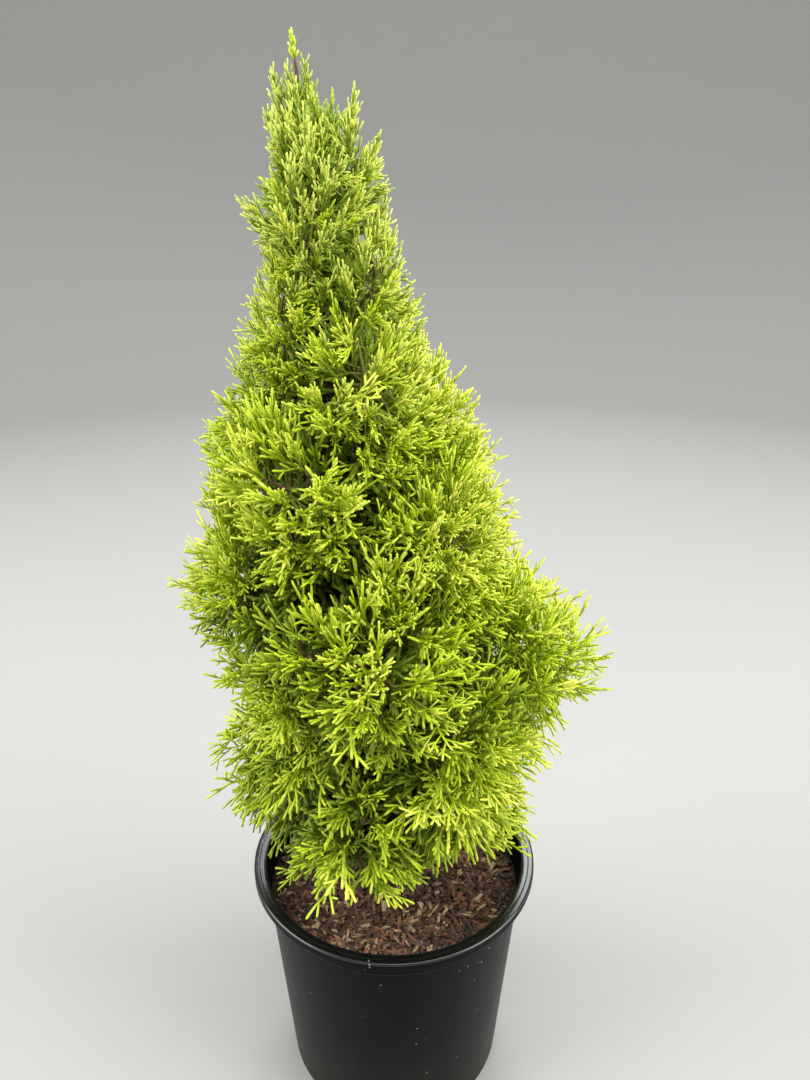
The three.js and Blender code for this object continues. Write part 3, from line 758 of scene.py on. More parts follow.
def cut(target, cutter):
    """Cuts one piece out of another and removes the cutter."""
    boolean = target.modifiers.new("cut", "BOOLEAN")
    boolean.operation = "DIFFERENCE"
    boolean.solver = "EXACT"
    boolean.object = cutter
    evaluated = target.evaluated_get(bpy.context.evaluated_depsgraph_get())
    mesh = bpy.data.meshes.new_from_object(evaluated)
    target.modifiers.clear()
    target.data = mesh
    bpy.data.objects.remove(cutter)


class PLANT_OT_cypress_pot(bpy.types.Operator):
    """Turns the round nursery pot with its rim, stacking step and drain holes"""
    bl_idname = "plant.cypress_pot"
    bl_label = "Nursery pot"

    def execute(self, context):
        shoulder = POT_HEIGHT - SHOULDER_BELOW_RIM
        neck = RIM_RADIUS - RIM_WIDTH
        ledge = POT_HEIGHT - BEAD_HEIGHT
        # Radius and height: up the outside, over the lip, the bead and the ledge, and down the inside
        outside = [
            (0, 0), (BASE_RADIUS, 0), (SHOULDER_RADIUS, shoulder),
            (SHOULDER_RADIUS + STACKING_STEP, shoulder + STACKING_STEP),
            (neck, POT_HEIGHT - WALL), (RIM_RADIUS - WALL, POT_HEIGHT - WALL),
            (RIM_RADIUS - WALL, POT_HEIGHT - LIP_HEIGHT), (RIM_RADIUS, POT_HEIGHT - LIP_HEIGHT),
            (RIM_RADIUS, POT_HEIGHT), (RIM_RADIUS - BEAD_TOP, POT_HEIGHT),
            (RIM_RADIUS - BEAD_FOOT, ledge), (neck + LEDGE_BEVEL, ledge),
            (neck - WALL, POT_HEIGHT - LEDGE_DROP),
            (inner_radius(shoulder) + STACKING_STEP, shoulder + STACKING_STEP),
            (inner_radius(shoulder), shoulder), (inner_radius(FLOOR_THICKNESS), FLOOR_THICKNESS),
            (0, FLOOR_THICKNESS),
        ]
        outline = rounded([Vector(point) for point in outside], EDGE_ROUNDING)
        mesh = mesh_of(spun(outline, POT_STEPS), "nursery_pot")
        settings = context.scene.cypress_pot
        plastics = [
            pot_plastic("scuffed_black_polypropylene", settings, 0, WALL_SPECULAR),
            pot_plastic("glossy_black_polypropylene", settings, POLISHED_SMOOTHER, RIM_SPECULAR),
        ]
        made = piece("nursery_pot", mesh, plastics, ["pot"])
        drills = bmesh.new()
        for n in range(DRAIN_HOLES):
            angle = (n + 0.5) * 2 * math.pi / DRAIN_HOLES
            drill = bmesh.ops.create_cone(drills, cap_ends=True, segments=DRILL_STEPS, radius1=DRAIN_RADIUS,
                                          radius2=DRAIN_RADIUS, depth=4 * FLOOR_THICKNESS)
            place = (DRAIN_CIRCLE * math.cos(angle), DRAIN_CIRCLE * math.sin(angle), 0)
            bmesh.ops.translate(drills, verts=drill["verts"], vec=place)
        cut(made, shown("drain_drills", mesh_of(drills, "drain_drills")))
        for face in made.data.polygons:
            face.material_index = int(face.center.z > POT_HEIGHT - POLISHED_BAND)
        made.data.set_sharp_from_angle(angle=SHARP_ANGLE)
        return {"FINISHED"}


# Compost

def bed_height(x, y):
    """The height of the rough compost: nearly level in the middle, and a little lower at the wall."""
    out = math.hypot(x, y) / SOIL_RADIUS
    lumps = noise.noise(Vector((x, y, 0)) * LUMPS_PER_METRE)
    crumbs = noise.noise(Vector((x, y, 3)) * CRUMBS_PER_METRE)
    settled = BED_ROUGHNESS * (MIDDLE_SINK + WALL_SINK * out ** 2)
    relief = lumps * LUMP_SHARE + crumbs * CRUMB_SHARE
    # The relief dies out towards the trunk's foot
    return SOIL_TOP - settled + BED_ROUGHNESS * relief * clamp(3 * out, 0, 1) * BED_RELIEF


class PLANT_OT_cypress_compost(bpy.types.Operator):
    """Fills the pot with compost and strews bark chips and shed twigs on it"""
    bl_idname = "plant.cypress_compost"
    bl_label = "Bark compost"

    def execute(self, context):
        surface = [(SOIL_RADIUS * (1 - n / BED_RINGS), SOIL_TOP) for n in range(BED_RINGS + 1)]
        outline = [(0, SOIL_FOOT), (inner_radius(SOIL_FOOT) - FIT_GAP, SOIL_FOOT)] + surface
        bed = spun([Vector(point) for point in outline], BED_STEPS)
        under_surface = SOIL_TOP - 0.5 * MM
        for vert in bed.verts:
            if vert.co.z > under_surface:
                vert.co.z = bed_height(vert.co.x, vert.co.y)
        mesh = mesh_of(bed, "compost_bed")
        piece("compost_bed", mesh, [compost_material()], ["soil"])
        self.strew(context.scene.cypress_pot)
        return {"FINISHED"}

    def strew(self, settings):
        """Bark chips, most of them dark or brown, and shed twigs."""
        random = seeded(SEED + 200)
        chips = Heap()
        for _ in range(CHIP_COUNT):
            points, corners = chip(random, settings.chip_length)
            chips.add(points, corners, min(int(CHIP_KINDS * random() ** DARK_CHIPS), CHIP_KINDS - 1))
        for _ in range(LITTER_COUNT):
            chips.add(*shed_twig(random), CHIP_KINDS)
        materials = [
            chip_material("bark_chip_dark", colour("#483222")),
            chip_material("bark_chip_brown", tuple(settings.chip_colour)),
            chip_material("bark_chip_red", colour("#7f5537")),
            chip_material("bark_chip_torn", colour("#a08a69")),
            plain_material("shed_brown_twig", colour("#6e4c2c"), 0.8),
        ]
        piece("bark_chips", chips.mesh("bark_chips", smooth=False), materials)


def on_bed(random, margin):
    """A random place on the compost, clear of the pot's wall and the trunk."""
    out = lerp(CLEAR_OF_TRUNK, SOIL_RADIUS - margin, math.sqrt(random()))
    angle = 2 * math.pi * random()
    x, y = out * math.cos(angle), out * math.sin(angle)
    return Vector((x, y, bed_height(x, y)))


def tilted_frame(random, most_tilt):
    """Three axes, turned at random and tilted a little from level."""
    turn = 2 * math.pi * random()
    tilt = most_tilt * (random() - 0.5)
    along = Vector((math.cos(turn) * math.cos(tilt), math.sin(turn) * math.cos(tilt), math.sin(tilt)))
    roll = most_tilt * (random() - 0.5)
    side = squared(leaned(UP.cross(along).normalized(), UP, roll).normalized(), along)
    return along, side, along.cross(side)


# The triangles of a block whose corners are numbered round its underside, then round its top
CHIP_CORNERS = np.array([
    (0, 2, 1), (0, 3, 2), (4, 5, 6), (4, 6, 7), (0, 1, 5), (0, 5, 4),
    (1, 2, 6), (1, 6, 5), (2, 3, 7), (2, 7, 6), (3, 0, 4), (3, 4, 7),
])


def chip(random, longest):
    """One flake of bark: a thin block with uneven corners, mostly a splinter and else a squarer crumb."""
    length = longest * (0.22 + 0.78 * random() ** 2)
    if random() < SPLINTER_SHARE:
        width = length * (0.14 + 0.24 * random())
    else:
        width = min(length, LARGEST_CRUMB) * (0.5 + 0.4 * random())
    thick = clamp(0.12 * length, *CHIP_THICKNESS) * (0.6 + 0.6 * random())
    tilt = FLAT_TILT if random() < FLAT_SHARE else STEEP_TILT
    along, side, face = tilted_frame(random, tilt)
    middle = on_bed(random, 0.5 * length + CHIP_MARGIN) + UP * (0.3 * thick + CHIP_PILE * random())
    points = []
    for up in (-0.5, 0.5):
        for x, y in ((-0.5, -0.5), (0.5, -0.5), (0.5, 0.5), (-0.5, 0.5)):
            ahead = along * x * length * (0.7 + 0.5 * random())
            aside = side * y * width * (0.7 + 0.5 * random())
            points.append(middle + ahead + aside + face * up * thick)
    return np.array(points), CHIP_CORNERS


def shed_twig(random):
    """A dead twig or needle cord that fell on the compost, 4 to 12 mm long and up to 1.1 mm thick."""
    along, side, _ = tilted_frame(random, LITTER_TILT)
    start = on_bed(random, LITTER_MARGIN) + UP * 1.6 * MM
    length = (4 + 8 * random()) * MM
    radius = (0.25 + 0.3 * random()) * MM
    bend = side * length * 0.3 * (random() - 0.5)
    points = [start, start + along * length * 0.5 + bend, start + along * length]
    return chain(points, [radius, 0.8 * radius], CORD_SIDES)


# Trunk and boughs: the curves and radii of the solids

def along_trunk(height):
    """The part of the way up the trunk at a height."""
    return ramp(height, SOIL_TOP, TREE_HEIGHT - SOIL_TOP)


def trunk_point(height):
    part = along_trunk(height)
    return Vector((-LEAN * part ** LEAN_POWER, SWAY * math.sin(2 * math.pi * part) * part, height))


def trunk_radius(height):
    flare = ROOT_FLARE * math.exp(-(height - SOIL_TOP) / FLARE_HEIGHT)
    return lerp(TRUNK_RADIUS, TRUNK_TIP_RADIUS, along_trunk(height) ** 0.9) + flare


def from_table(table, height, azimuth):
    """A value from rows of (height, left, right), between the two sides by the angle about the stem."""
    level = clamp(height, table[0][0], table[-1][0])
    below, above = next(pair for pair in zip(table, table[1:]) if level <= pair[1][0])
    part = (level - below[0]) / (above[0] - below[0])
    left = lerp(below[1], above[1], part)
    right = lerp(below[2], above[2], part)
    return lerp(left, right, (1 + math.cos(azimuth)) / 2)


def crown_reach(height, azimuth):
    return from_table(CROWN_REACH, height, azimuth)


def needle_reach(height, azimuth):
    return crown_reach(height, azimuth) * from_table(NEEDLE_REACH, height, azimuth)


def growth_rise(height):
    """How steeply growth rises at a height: drooping at the skirt, nearly upright at the top."""
    part = ramp(height, FOLIAGE_FLOOR, TREE_HEIGHT - FOLIAGE_FLOOR)
    return lerp(RISE_AT_SKIRT, RISE_AT_TOP, part ** RISE_POWER)


def outward(azimuth, rise):
    """The direction away from the stem at an azimuth, rising at an angle."""
    level = math.cos(rise)
    return Vector((math.cos(azimuth) * level, math.sin(azimuth) * level, math.sin(rise)))


def azimuth_of(point):
    axis = trunk_point(point.z)
    return math.atan2(point.y - axis.y, point.x - axis.x)


def off_axis(point):
    """How far a point is from the trunk's axis."""
    axis = trunk_point(point.z)
    return math.hypot(point.x - axis.x, point.y - axis.y)


def from_trunk(height, azimuth, part):
    """The point at a part of the masses' reach from the trunk's axis."""
    return trunk_point(height) + outward(azimuth, 0) * (part * crown_reach(height, azimuth))


def mass_plan(index):
    """Where a mass of foliage stands, and where its stem starts and points."""
    part = index / (MASS_COUNT - 1)
    height = lerp(LOWEST_MASS, HIGHEST_MASS, part ** HEIGHT_POWER)
    azimuth = FIRST_AZIMUTH + index * GOLDEN_ANGLE
    centre = from_trunk(height, azimuth, MASS_CENTRE)
    rise = growth_rise(height)
    along = outward(azimuth, rise)
    back = max(STEM_PART * crown_reach(height, azimuth), SHORTEST_STEM_PART)
    return SimpleNamespace(index=index, height=height, azimuth=azimuth, centre=centre, rise=rise,
                           along=along, entry=centre - along * back, node=f"foliage_{index + 1:02d}")


def leader_plan():
    """The topmost mass, which goes on from the trunk's own tip."""
    entry = trunk_point(TRUNK_TOP)
    centre = trunk_point(TRUNK_TOP + 0.6 * SPROUT_LENGTH)
    return SimpleNamespace(index=MASS_COUNT, height=centre.z, azimuth=0.0, centre=centre, rise=math.pi / 2,
                           along=(centre - entry).normalized(), entry=entry, node="foliage_leader")


def bough_curve(plan):
    """A bough's way from the trunk to its mass as a function of the part along it."""
    axis = trunk_point(plan.height)
    out = math.hypot(plan.entry.x - axis.x, plan.entry.y - axis.y)
    climb = BOUGH_CLIMB + BOUGH_CLIMB_BY_RISE * plan.rise
    root = trunk_point(max(plan.entry.z - out * math.tan(climb), SOIL_TOP + LOWEST_BOUGH))
    knee = plan.entry - plan.along * (BOUGH_KNEE * (plan.entry - root).length)
    return bend_through(root, knee, plan.entry)


def bough_radius(plan, part):
    reach = crown_reach(plan.height, plan.azimuth)
    return BOUGH_RADIUS + lerp(BOUGH_ROOT_SHARE, BOUGH_TIP_SHARE, part) * reach


def limb(target, curve, radius_at, sides, rows, relief):
    """Adds a round limb to a bmesh: a grid rolled up round the curve, with the bark's strips and cracks."""
    made = bmesh.new()
    run = made.loops.layers.uv.new("bark_run")
    bmesh.ops.create_grid(made, x_segments=sides, y_segments=rows, size=0.5)
    length = sum((curve((n + 1) / rows) - curve(n / rows)).length for n in range(rows))
    for face in made.faces:
        for loop in face.loops:
            u, v = loop.vert.co.x + 0.5, loop.vert.co.y + 0.5
            loop[run].uv = (u * 2 * math.pi * radius_at(v), v * length)
    frames = limb_frames(curve, rows)
    for vert in made.verts:
        u, v = vert.co.x + 0.5, vert.co.y + 0.5
        middle, side, face = frames[round(v * rows)]
        angle = 2 * math.pi * u
        radius = radius_at(v, angle)
        # Strips about a seventh of the girth wide, that change every 17 mm along the limb
        strip = Vector((math.cos(angle) * 5, math.sin(angle) * 5, v * length * 60))
        crack = noise.noise(strip + middle * 3) + 0.5 * noise.noise(strip * 2.3)
        radius += relief * crack
        vert.co = middle + radius * (math.cos(angle) * side + math.sin(angle) * face)
    bmesh.ops.remove_doubles(made, verts=made.verts, dist=1e-6)
    rims = [edge for edge in made.edges if edge.is_boundary]
    bmesh.ops.holes_fill(made, edges=rims, sides=0)
    bmesh.ops.recalc_face_normals(made, faces=made.faces)
    mesh = mesh_of(made, "limb")
    target.from_mesh(mesh)
    bpy.data.meshes.remove(mesh)


def limb_frames(curve, rows):
    """The curve's points with two axes across each, carried along without a twist."""
    frames = []
    side = ALONG_X
    for n in range(rows + 1):
        part = n / rows
        forward = (curve(min(part + 0.01, 1)) - curve(max(part - 0.01, 0))).normalized()
        side = squared(side, forward)
        frames.append((curve(part), side, forward.cross(side)))
    return frames


class PLANT_OT_cypress_limbs(bpy.types.Operator):
    """Models the trunk and the boughs with the bark's relief"""
    bl_idname = "plant.cypress_limbs"
    bl_label = "Trunk and boughs"

    def execute(self, context):
        bark = bark_material(context.scene.cypress_crown)
        foot = TRUNK_FOOT - TRUNK_SUNK

        def height_at(part):
            # Rows lie closer together at the flare
            return lerp(foot, TRUNK_TOP, part ** 1.3)

        def trunk_radius_at(part, angle=0.0):
            height = max(height_at(part), TRUNK_FOOT)
            lobes = ROOT_LOBE_DEPTH * math.cos(ROOT_LOBES * angle)
            return trunk_radius(height) * (1 + lobes * math.exp(-(height - SOIL_TOP) / FLARE_HEIGHT))

        trunk = bmesh.new()
        limb(trunk, lambda part: trunk_point(height_at(part)), trunk_radius_at, *TRUNK_GRID, TRUNK_RELIEF)
        piece("trunk_bark", mesh_of(trunk, "trunk_bark"), [bark], ["trunk"])
        boughs = bmesh.new()
        plans = [mass_plan(index) for index in range(MASS_COUNT)]
        for plan in plans:
            limb(boughs, bough_curve(plan), lambda part, angle=0.0, plan=plan: bough_radius(plan, part),
                 *BOUGH_GRID, BOUGH_RELIEF)
        nodes = [plan.node.replace("foliage", "bough") for plan in plans]
        piece("bough_bark", mesh_of(boughs, "bough_bark"), [bark], nodes)
        return {"FINISHED"}


# Foliage

def limb_pieces(plans, leader):
    """Limbs as short straight pieces, for measuring how clear a point is of them."""
    pieces = []
    for n in range(TRUNK_ROWS):
        heights = [lerp(TRUNK_FOOT, TRUNK_TOP, row / TRUNK_ROWS) for row in (n, n + 1)]
        owner = leader if n == TRUNK_ROWS - 1 else None
        pieces.append((trunk_point(heights[0]), trunk_point(heights[1]), trunk_radius(heights[0]), owner))
    for plan in plans:
        curve = bough_curve(plan)
        for n in range(BOUGH_ROWS):
            ends = [curve(row / BOUGH_ROWS) for row in (n, n + 1)]
            pieces.append((*ends, bough_radius(plan, n / BOUGH_ROWS), plan))
    return pieces


def clear_of(point, pieces, gap):
    """Whether a point keeps a gap to all the pieces of limb."""
    for start, end, radius, _ in pieces:
        along = end - start
        part = clamp((point - start).dot(along) / along.length_squared, 0, 1)
        if (start + along * part - point).length < radius + gap:
            return False
    return True


def stretched(point):
    """A point where distances are measured as the masses' spaces are: taller than wide."""
    return Vector((point.x, point.y, point.z / MASS_UPRIGHTNESS))


def nearest_plan(plans, point):
    place = stretched(point)
    return min(plans, key=lambda plan: (stretched(plan.centre) - place).length_squared)


def in_crown(point, spare, reach=crown_reach):
    """Whether a point is inside a share of the crown's reach."""
    return point.z < TREE_HEIGHT + TIP_ROOM and off_axis(point) < spare * reach(point.z, azimuth_of(point))


def space_of(plan, plans, pieces):
    """Tells whether a point is in a mass's own space, with a gap to the limbs."""
    walls = []
    for other in plans:
        if other is not plan:
            normal = stretched(other.centre) - stretched(plan.centre)
            normal.z /= MASS_UPRIGHTNESS
            normal.normalize()
            middle = (other.centre + plan.centre) / 2
            walls.append((normal, normal.dot(middle) - MASS_GAP))
    walls.append((-plan.along, -plan.along.dot(plan.entry) - FIT_GAP))
    walls.append((-UP, -FOLIAGE_FLOOR))
    nearby = [p for p in pieces if p[3] is not plan and (p[0] - plan.centre).length < NEARBY]

    def holds(point, gap):
        inside = all(normal.dot(point) < limit for normal, limit in walls)
        return inside and in_crown(point, 1) and clear_of(point, nearby, gap)

    return holds


def room_along(space, start, direction, gap, longest=0.2):
    """How far a straight way runs inside the space."""
    step = 2 * MM
    length = 0.0
    while length < longest and space(start + direction * (length + step), gap):
        length += step
    return length


def crown_targets(plans, count, inner, random):
    """Points spread evenly over the crown's surface, from the skirt up, on a golden-angle spiral.
    With inner under 1 they lie on a smaller crown inside it."""
    top = TREE_HEIGHT - TARGETS_BELOW_TIP
    heights = [lerp(FOLIAGE_FLOOR, top, n / TARGET_LEVELS) for n in range(TARGET_LEVELS + 1)]
    share = [0.0]
    for height in heights[1:]:
        girth = (crown_reach(height, 0) + crown_reach(height, math.pi)) / 2
        share.append(share[-1] + TOP_FULLNESS + girth)
    targets = []
    level = 1
    for n in range(count):
        while share[level] < share[TARGET_LEVELS] * (n + 0.5) / count:
            level += 1
        height = heights[level] - HEIGHT_SCATTER * random()
        azimuth = n * GOLDEN_ANGLE + AZIMUTH_SCATTER * random()
        surface = from_trunk(height, azimuth, 1)
        nearest = nearest_plan(plans, surface)
        apart = (surface - nearest.centre).length / crown_reach(nearest.height, nearest.azimuth)
        lobe = 1 - LOBE_SLOPE * clamp(apart - LOBE_START, 0, 1)
        # Some plumes of the lower crown stay back, fewer of them on the right, which leaves dark hollows
        side = lerp(1, HOLLOW_ON_LIT_SIDE, clamp(1.5 * math.cos(azimuth), 0, 1))
        hollow = ramp(HOLLOWS_BELOW - height, 0, HOLLOWS_FADE) * side
        scatter = TIP_SCATTER * (0.5 - random()) - HOLLOW * random() ** 2 * hollow
        part = inner * max(lobe + scatter, DEEPEST_TIP) * from_table(NEEDLE_REACH, height, azimuth)
        targets.append((from_trunk(height, azimuth, part), nearest))
    return targets


def leave_point(start, along, length, target, vary):
    """Where growth leaves a limb: far enough back to branch at about 45 degrees."""
    offset = target - start
    ahead = offset.dot(along)
    aside = math.sqrt(max(offset.length_squared - ahead * ahead, 0))
    # Not in the limb's first 6 to 20%, nor in its last
    first = 0.06 + 0.14 * vary
    return start + along * clamp(ahead - aside, first * length, (first + 0.74) * length)


def outer_slots(corners):
    """Slot 0 on the last ring and the tip of a shoot with CORD_SIDES sides, and slot 1 on the rest."""
    outer = 3 * CORD_SIDES
    return [1] * (len(corners) - outer) + [0] * outer


def spray_template(random, length, habit, width):
    """One spray of scale needles along its local z: a rib with blunt cords, some of them forked.
    Its slots are 0 on the outer parts of the cords and the rib, and 1 on their roots."""
    heap = Heap()
    thick = width / 2 * habit.stoutness
    bow = (RIB_BOW * (random() - 0.5), RIB_BOW * (random() - 0.5))

    def rib(part):
        return Vector((bow[0] * part * part, bow[1] * part * part, part)) * length

    parts = (0, 0.4, 0.75, 1 - thick / length, 1)
    radii = [thick * size for size in (0.9, 0.95, 1, 0.95)]
    points, corners = chain([rib(part) for part in parts], radii, CORD_SIDES)
    heap.add(points, corners, outer_slots(corners))
    cords = max(round((length - BARE_FOOT) / habit.spacing), FEWEST_CORDS)
    for n in range(cords):
        part = lerp(0.1, 0.92, (n + 0.4 * random()) / cords)
        # The cords stand to both sides by turns, and about one in four to the front or back
        turn = math.pi * n + (random() - 0.5) + (math.pi / 2 if random() < TURNED_CORDS else 0)
        # They lean less and grow shorter towards the spray's tip
        lean = lerp(*CORD_LEANS, part) + CORD_LEAN_SCATTER * (random() - 0.5)
        reach = lerp(habit.longest, habit.shortest, part) * (0.62 + 0.6 * random()) * min(1, 0.6 + 2 * part)
        reach = min(reach, CORD_SHARE * length)
        across = Vector((math.cos(turn), math.sin(turn), 0))
        way = leaned(UP, across, math.radians(lean * habit.spread)).normalized()
        root = rib(part)
        tip = root + way * reach + UP * 0.2 * reach
        middle = lerp(root, tip, 0.5) + across * 0.05 * reach
        blunt = 1 - 0.75 * thick / reach
        roll = 6 * random()
        if not habit.forked:
            heap.add(*chain([root, lerp(root, tip, blunt), tip], [0.85 * thick, thick], CORD_SIDES, roll), 0)
            continue
        places = [root, middle, lerp(middle, tip, 2 * blunt - 1), tip]
        points, corners = chain(places, [0.8 * thick, 0.95 * thick, thick], CORD_SIDES, roll)
        heap.add(points, corners, outer_slots(corners))
        forks = int(reach > habit.forks_at) + int(reach > SECOND_FORK * habit.forks_at)
        for fork in range(forks):
            start = lerp(root, tip, 0.28 + 0.22 * fork + 0.1 * random())
            spin = (1 if (n + fork) % 2 else -1) * math.radians(36 + 14 * random())
            aside = turned(way.cross(UP).normalized(), way, 0.8 * (random() - 0.5) + math.pi / 2)
            end = start + leaned(way, aside, spin).normalized() * reach * (0.42 + 0.2 * random())
            radii = [0.8 * thick, 0.95 * thick]
            heap.add(*chain([start, lerp(start, end, 0.86), end], radii, CORD_SIDES), 0)
    return np.concatenate(heap.points), np.concatenate(heap.corners), np.concatenate(heap.slots)


def spray_habit(size, longest, shortest, spacing, spread, stoutness, forks_at, forked=True):
    """How a kind of spray is built: its scale, the longest and shortest length of its cords and their
    spacing in mm, its spread and stoutness, and from which length in mm a cord forks."""
    return SimpleNamespace(size=size, longest=longest * MM, shortest=shortest * MM, spacing=spacing * MM,
                           spread=spread, stoutness=stoutness, forks_at=forks_at * MM, forked=forked)


HABITS = {
    "low": spray_habit(1.2, 28, 13, 6.4, 1.08, 1.04, 14),
    "wide": spray_habit(1.08, 18, 10, 4.8, 0.95, 0.9, 11),
    "high": spray_habit(0.95, 13, 6.5, 3.1, 0.64, 0.68, 9),
    "plain": spray_habit(1.0, 18, 10, 5.2, 1.15, 1.7, 99, forked=False),
}


class Foliage:
    """Grows the crown's twigs and sprays, mass by mass, from one stream of random draws for each mass."""

    def __init__(self, settings):
        self.sprays = Heap()
        self.twigs = Heap()
        self.plans = [mass_plan(index) for index in range(MASS_COUNT)]
        self.leader = leader_plan()
        self.every = [*self.plans, self.leader]
        self.pieces = limb_pieces(self.plans, self.leader)
        random = seeded(SEED + 7)
        width = settings.needle_width
        self.shapes = {}
        for kind, way in HABITS.items():
            for size in SPRAY_SIZES:
                length = size * way.size
                shapes = [spray_template(random, length, way, width) for _ in range(SHAPES_PER_SIZE)]
                self.shapes[kind, size] = shapes
        self.targets = {plan.index: [] for plan in self.every}
        for inner, share in SHELLS:
            for target, plan in crown_targets(self.every, int(share * settings.plumes), inner, seeded(SEED)):
                if inner == 1 or not thinned(target):
                    self.targets[plan.index].append(target)

    def grow(self, plan):
        """Adds one mass to the heap of sprays and the heap of twigs."""
        self.random = seeded(SEED + 1 + plan.index)
        space = space_of(plan, self.every, self.pieces)
        start = plan.entry
        room = room_along(space, start + plan.along * FIT_GAP * 1.5, plan.along, LIMB_GAP)
        length = kept_inside(start, plan.along, TWIG_ROOM * room + 2 * FIT_GAP)
        limbs = [(start, plan.along, length)]
        if plan is self.leader:
            self.leader_shoot()
            for height, degrees, out in TOP_SHOOTS:
                self.slender_shoot(height, math.radians(degrees), out * MM)
        else:
            self.fork(plan, start, length, space, limbs)
            for n, (root, along, reach) in enumerate(limbs):
                radius = TWIG_RADIUS if n else bough_radius(plan, 1)
                points = [root + along * reach * part for part in (0, 0.35, 0.7, 1)]
                radii = [radius * size for size in (1, 0.8, 0.5)]
                self.twigs.add(*chain(points, radii, LIMB_SIDES), int(root.z > GREEN_TWIGS))
        for target in self.targets[plan.index]:
            if target.z < TUFTS_END:
                self.plume(limbs, target)

    def fork(self, plan, start, length, space, limbs):
        """Twigs that fork off a mass's stem at the golden angle."""
        level = plan.along.cross(UP).normalized()
        turn = 2 * math.pi * self.random()
        for n, part in enumerate(TWIG_STARTS):
            leave = start + plan.along * part * length
            side = turned(level, plan.along, turn + n * GOLDEN_ANGLE)
            along = turned(plan.along, side, TWIG_ANGLE)
            reach = kept_inside(leave, along, TWIG_ROOM * room_along(space, leave, along, LIMB_GAP))
            if reach > SHORTEST_TWIG:
                limbs.append((leave, along, reach))

    def slender_shoot(self, height, azimuth, out):
        """One upright shoot near the leader: a thin twig with short sprays along it and a pointed tip."""
        random = self.random
        tip = trunk_point(height) + outward(azimuth, 0) * out
        root = trunk_point(height - SHOOT_LENGTH)
        knee = lerp(root, tip, 0.45) + outward(azimuth, 0) * 0.25 * out
        curve = bend_through(root, knee, tip)
        places = [curve(part) for part in (0, 0.35, 0.7, 0.95)]
        self.twigs.add(*chain(places, SHOOT_RADII, SHOOT_SIDES), 1)
        length = (tip - root).length
        count = int(0.8 * length / SHOOT_SPACING)
        for n in range(count):
            part = lerp(0.15, 0.9, n / (count - 1))
            ahead = (curve(part + 0.05) - curve(part - 0.05)).normalized()
            side = turned(ahead.cross(ALONG_X).normalized(), ahead, n * GOLDEN_ANGLE + 0.6 * random())
            lean = math.radians(lerp(*SHOOT_LEANS, part) + SHOOT_LEAN_SCATTER * (random() - 0.5))
            room = clamp(0.6 * (1 - part) * length, SHORTEST_SHOOT_SPRAY, LONGEST_SHOOT_SPRAY)
            self.place(curve(part), leaned(ahead, side, lean), room * (0.8 + 0.3 * random()), "high")
        self.place(curve(0.86), (tip - curve(0.86)).normalized(), 0.16 * length, "high")

    def leader_shoot(self):
        """The leader's own young shoot: bare and reddish for a little, then green up to its tip."""
        foot = trunk_point(TRUNK_TOP - 3 * MM)
        tip = trunk_point(TREE_HEIGHT)
        radii = [TRUNK_TIP_RADIUS, 0.7 * TRUNK_TIP_RADIUS]
        self.twigs.add(*chain([foot, lerp(foot, tip, 0.4), tip], radii, LIMB_SIDES), 0)
        way = (tip - foot).normalized()
        for n in range(LEADER_CORDS):
            part = n / (LEADER_CORDS - 1)
            root = lerp(foot, tip, lerp(0.04, 0.86, part))
            side = turned(way.cross(ALONG_X).normalized(), way, n * GOLDEN_ANGLE)
            lean = lerp(*LEADER_LEANS, part) + SHOOT_LEAN_SCATTER * (self.random() - 0.5)
            out = leaned(way, side, math.radians(lean))
            length = lerp(*LEADER_CORD_LENGTHS, part) * MM * (0.8 + 0.4 * self.random())
            points = [root, root + out * 0.88 * length, root + out * length]
            self.sprays.add(*chain(points, LEADER_CORD_RADII, CORD_SIDES), 1 + n % 2)

    def plume(self, limbs, target):
        """One plume: a thin twig that bends out to the crown's surface, with sprays all along it."""
        random = self.random
        vary = random()
        starts = [leave_point(*way, target, vary) for way in limbs]
        start = min(starts, key=lambda place: (place - target).length)
        if (target - start).length > LONGEST_PLUME:
            start = target + (start - target).normalized() * LONGEST_PLUME
        longest = LONGEST_SPRAY * vigour(target.z)
        reach = (target - start).length
        direct = (target - start).normalized()
        grown = outward(azimuth_of(target), growth_rise(target.z))
        final = (direct + lerp(TURN_UP_LOW, TURN_UP_HIGH, ramp(target.z, *TURNING_UP)) * grown).normalized()
        end = target - final * (PLUME_END * longest)
        curve = bend_through(start, end - final * (PLUME_KNEE * reach), end)
        parts = (0, 0.3, 0.6, 0.85)
        radii = [lerp(PLUME_RADIUS, PLUME_TIP_RADIUS, part) for part in parts]
        self.twigs.add(*chain([curve(part) for part in (*parts, 1)], radii, SHOOT_SIDES), 1)
        self.spray(target - final * longest * 0.9, final, 0.9 * longest)
        count = max(int(reach * (1 - FIRST_SPRAY) / spacing_at(target.z)), FEWEST_SPRAYS)
        level = square_to(final, 0.95)
        turn = 2 * math.pi * random()
        closing = lerp(1, CLOSED_AT_TOP, ramp(target.z, *CLOSING_UP))
        sweep = lerp(SWEEP_LOW, SWEEP_HIGH, ramp(target.z, *TURNING_UP))
        for n in range(count):
            part = lerp(FIRST_SPRAY, 1.0, n / count)
            place = curve(part)
            ahead = (curve(min(part + 0.03, 1)) - curve(part - 0.03)).normalized()
            side = turned(squared(level, ahead), ahead, turn + n * GOLDEN_ANGLE + 0.5 * random())
            lean = lerp(SPRAY_ANGLE_LOW, SPRAY_ANGLE_HIGH, part) * closing + LEAN_SCATTER * (random() - 0.5)
            way = (leaned(ahead, side, lean) + sweep * grown).normalized()
            room = 0.9 * (target - place).dot(final) / math.cos(lean) + SPRAY_OVERHANG
            self.spray(place, way, clamp(room, SHORTEST_SPRAY, longest) * (0.8 + 0.25 * random()))

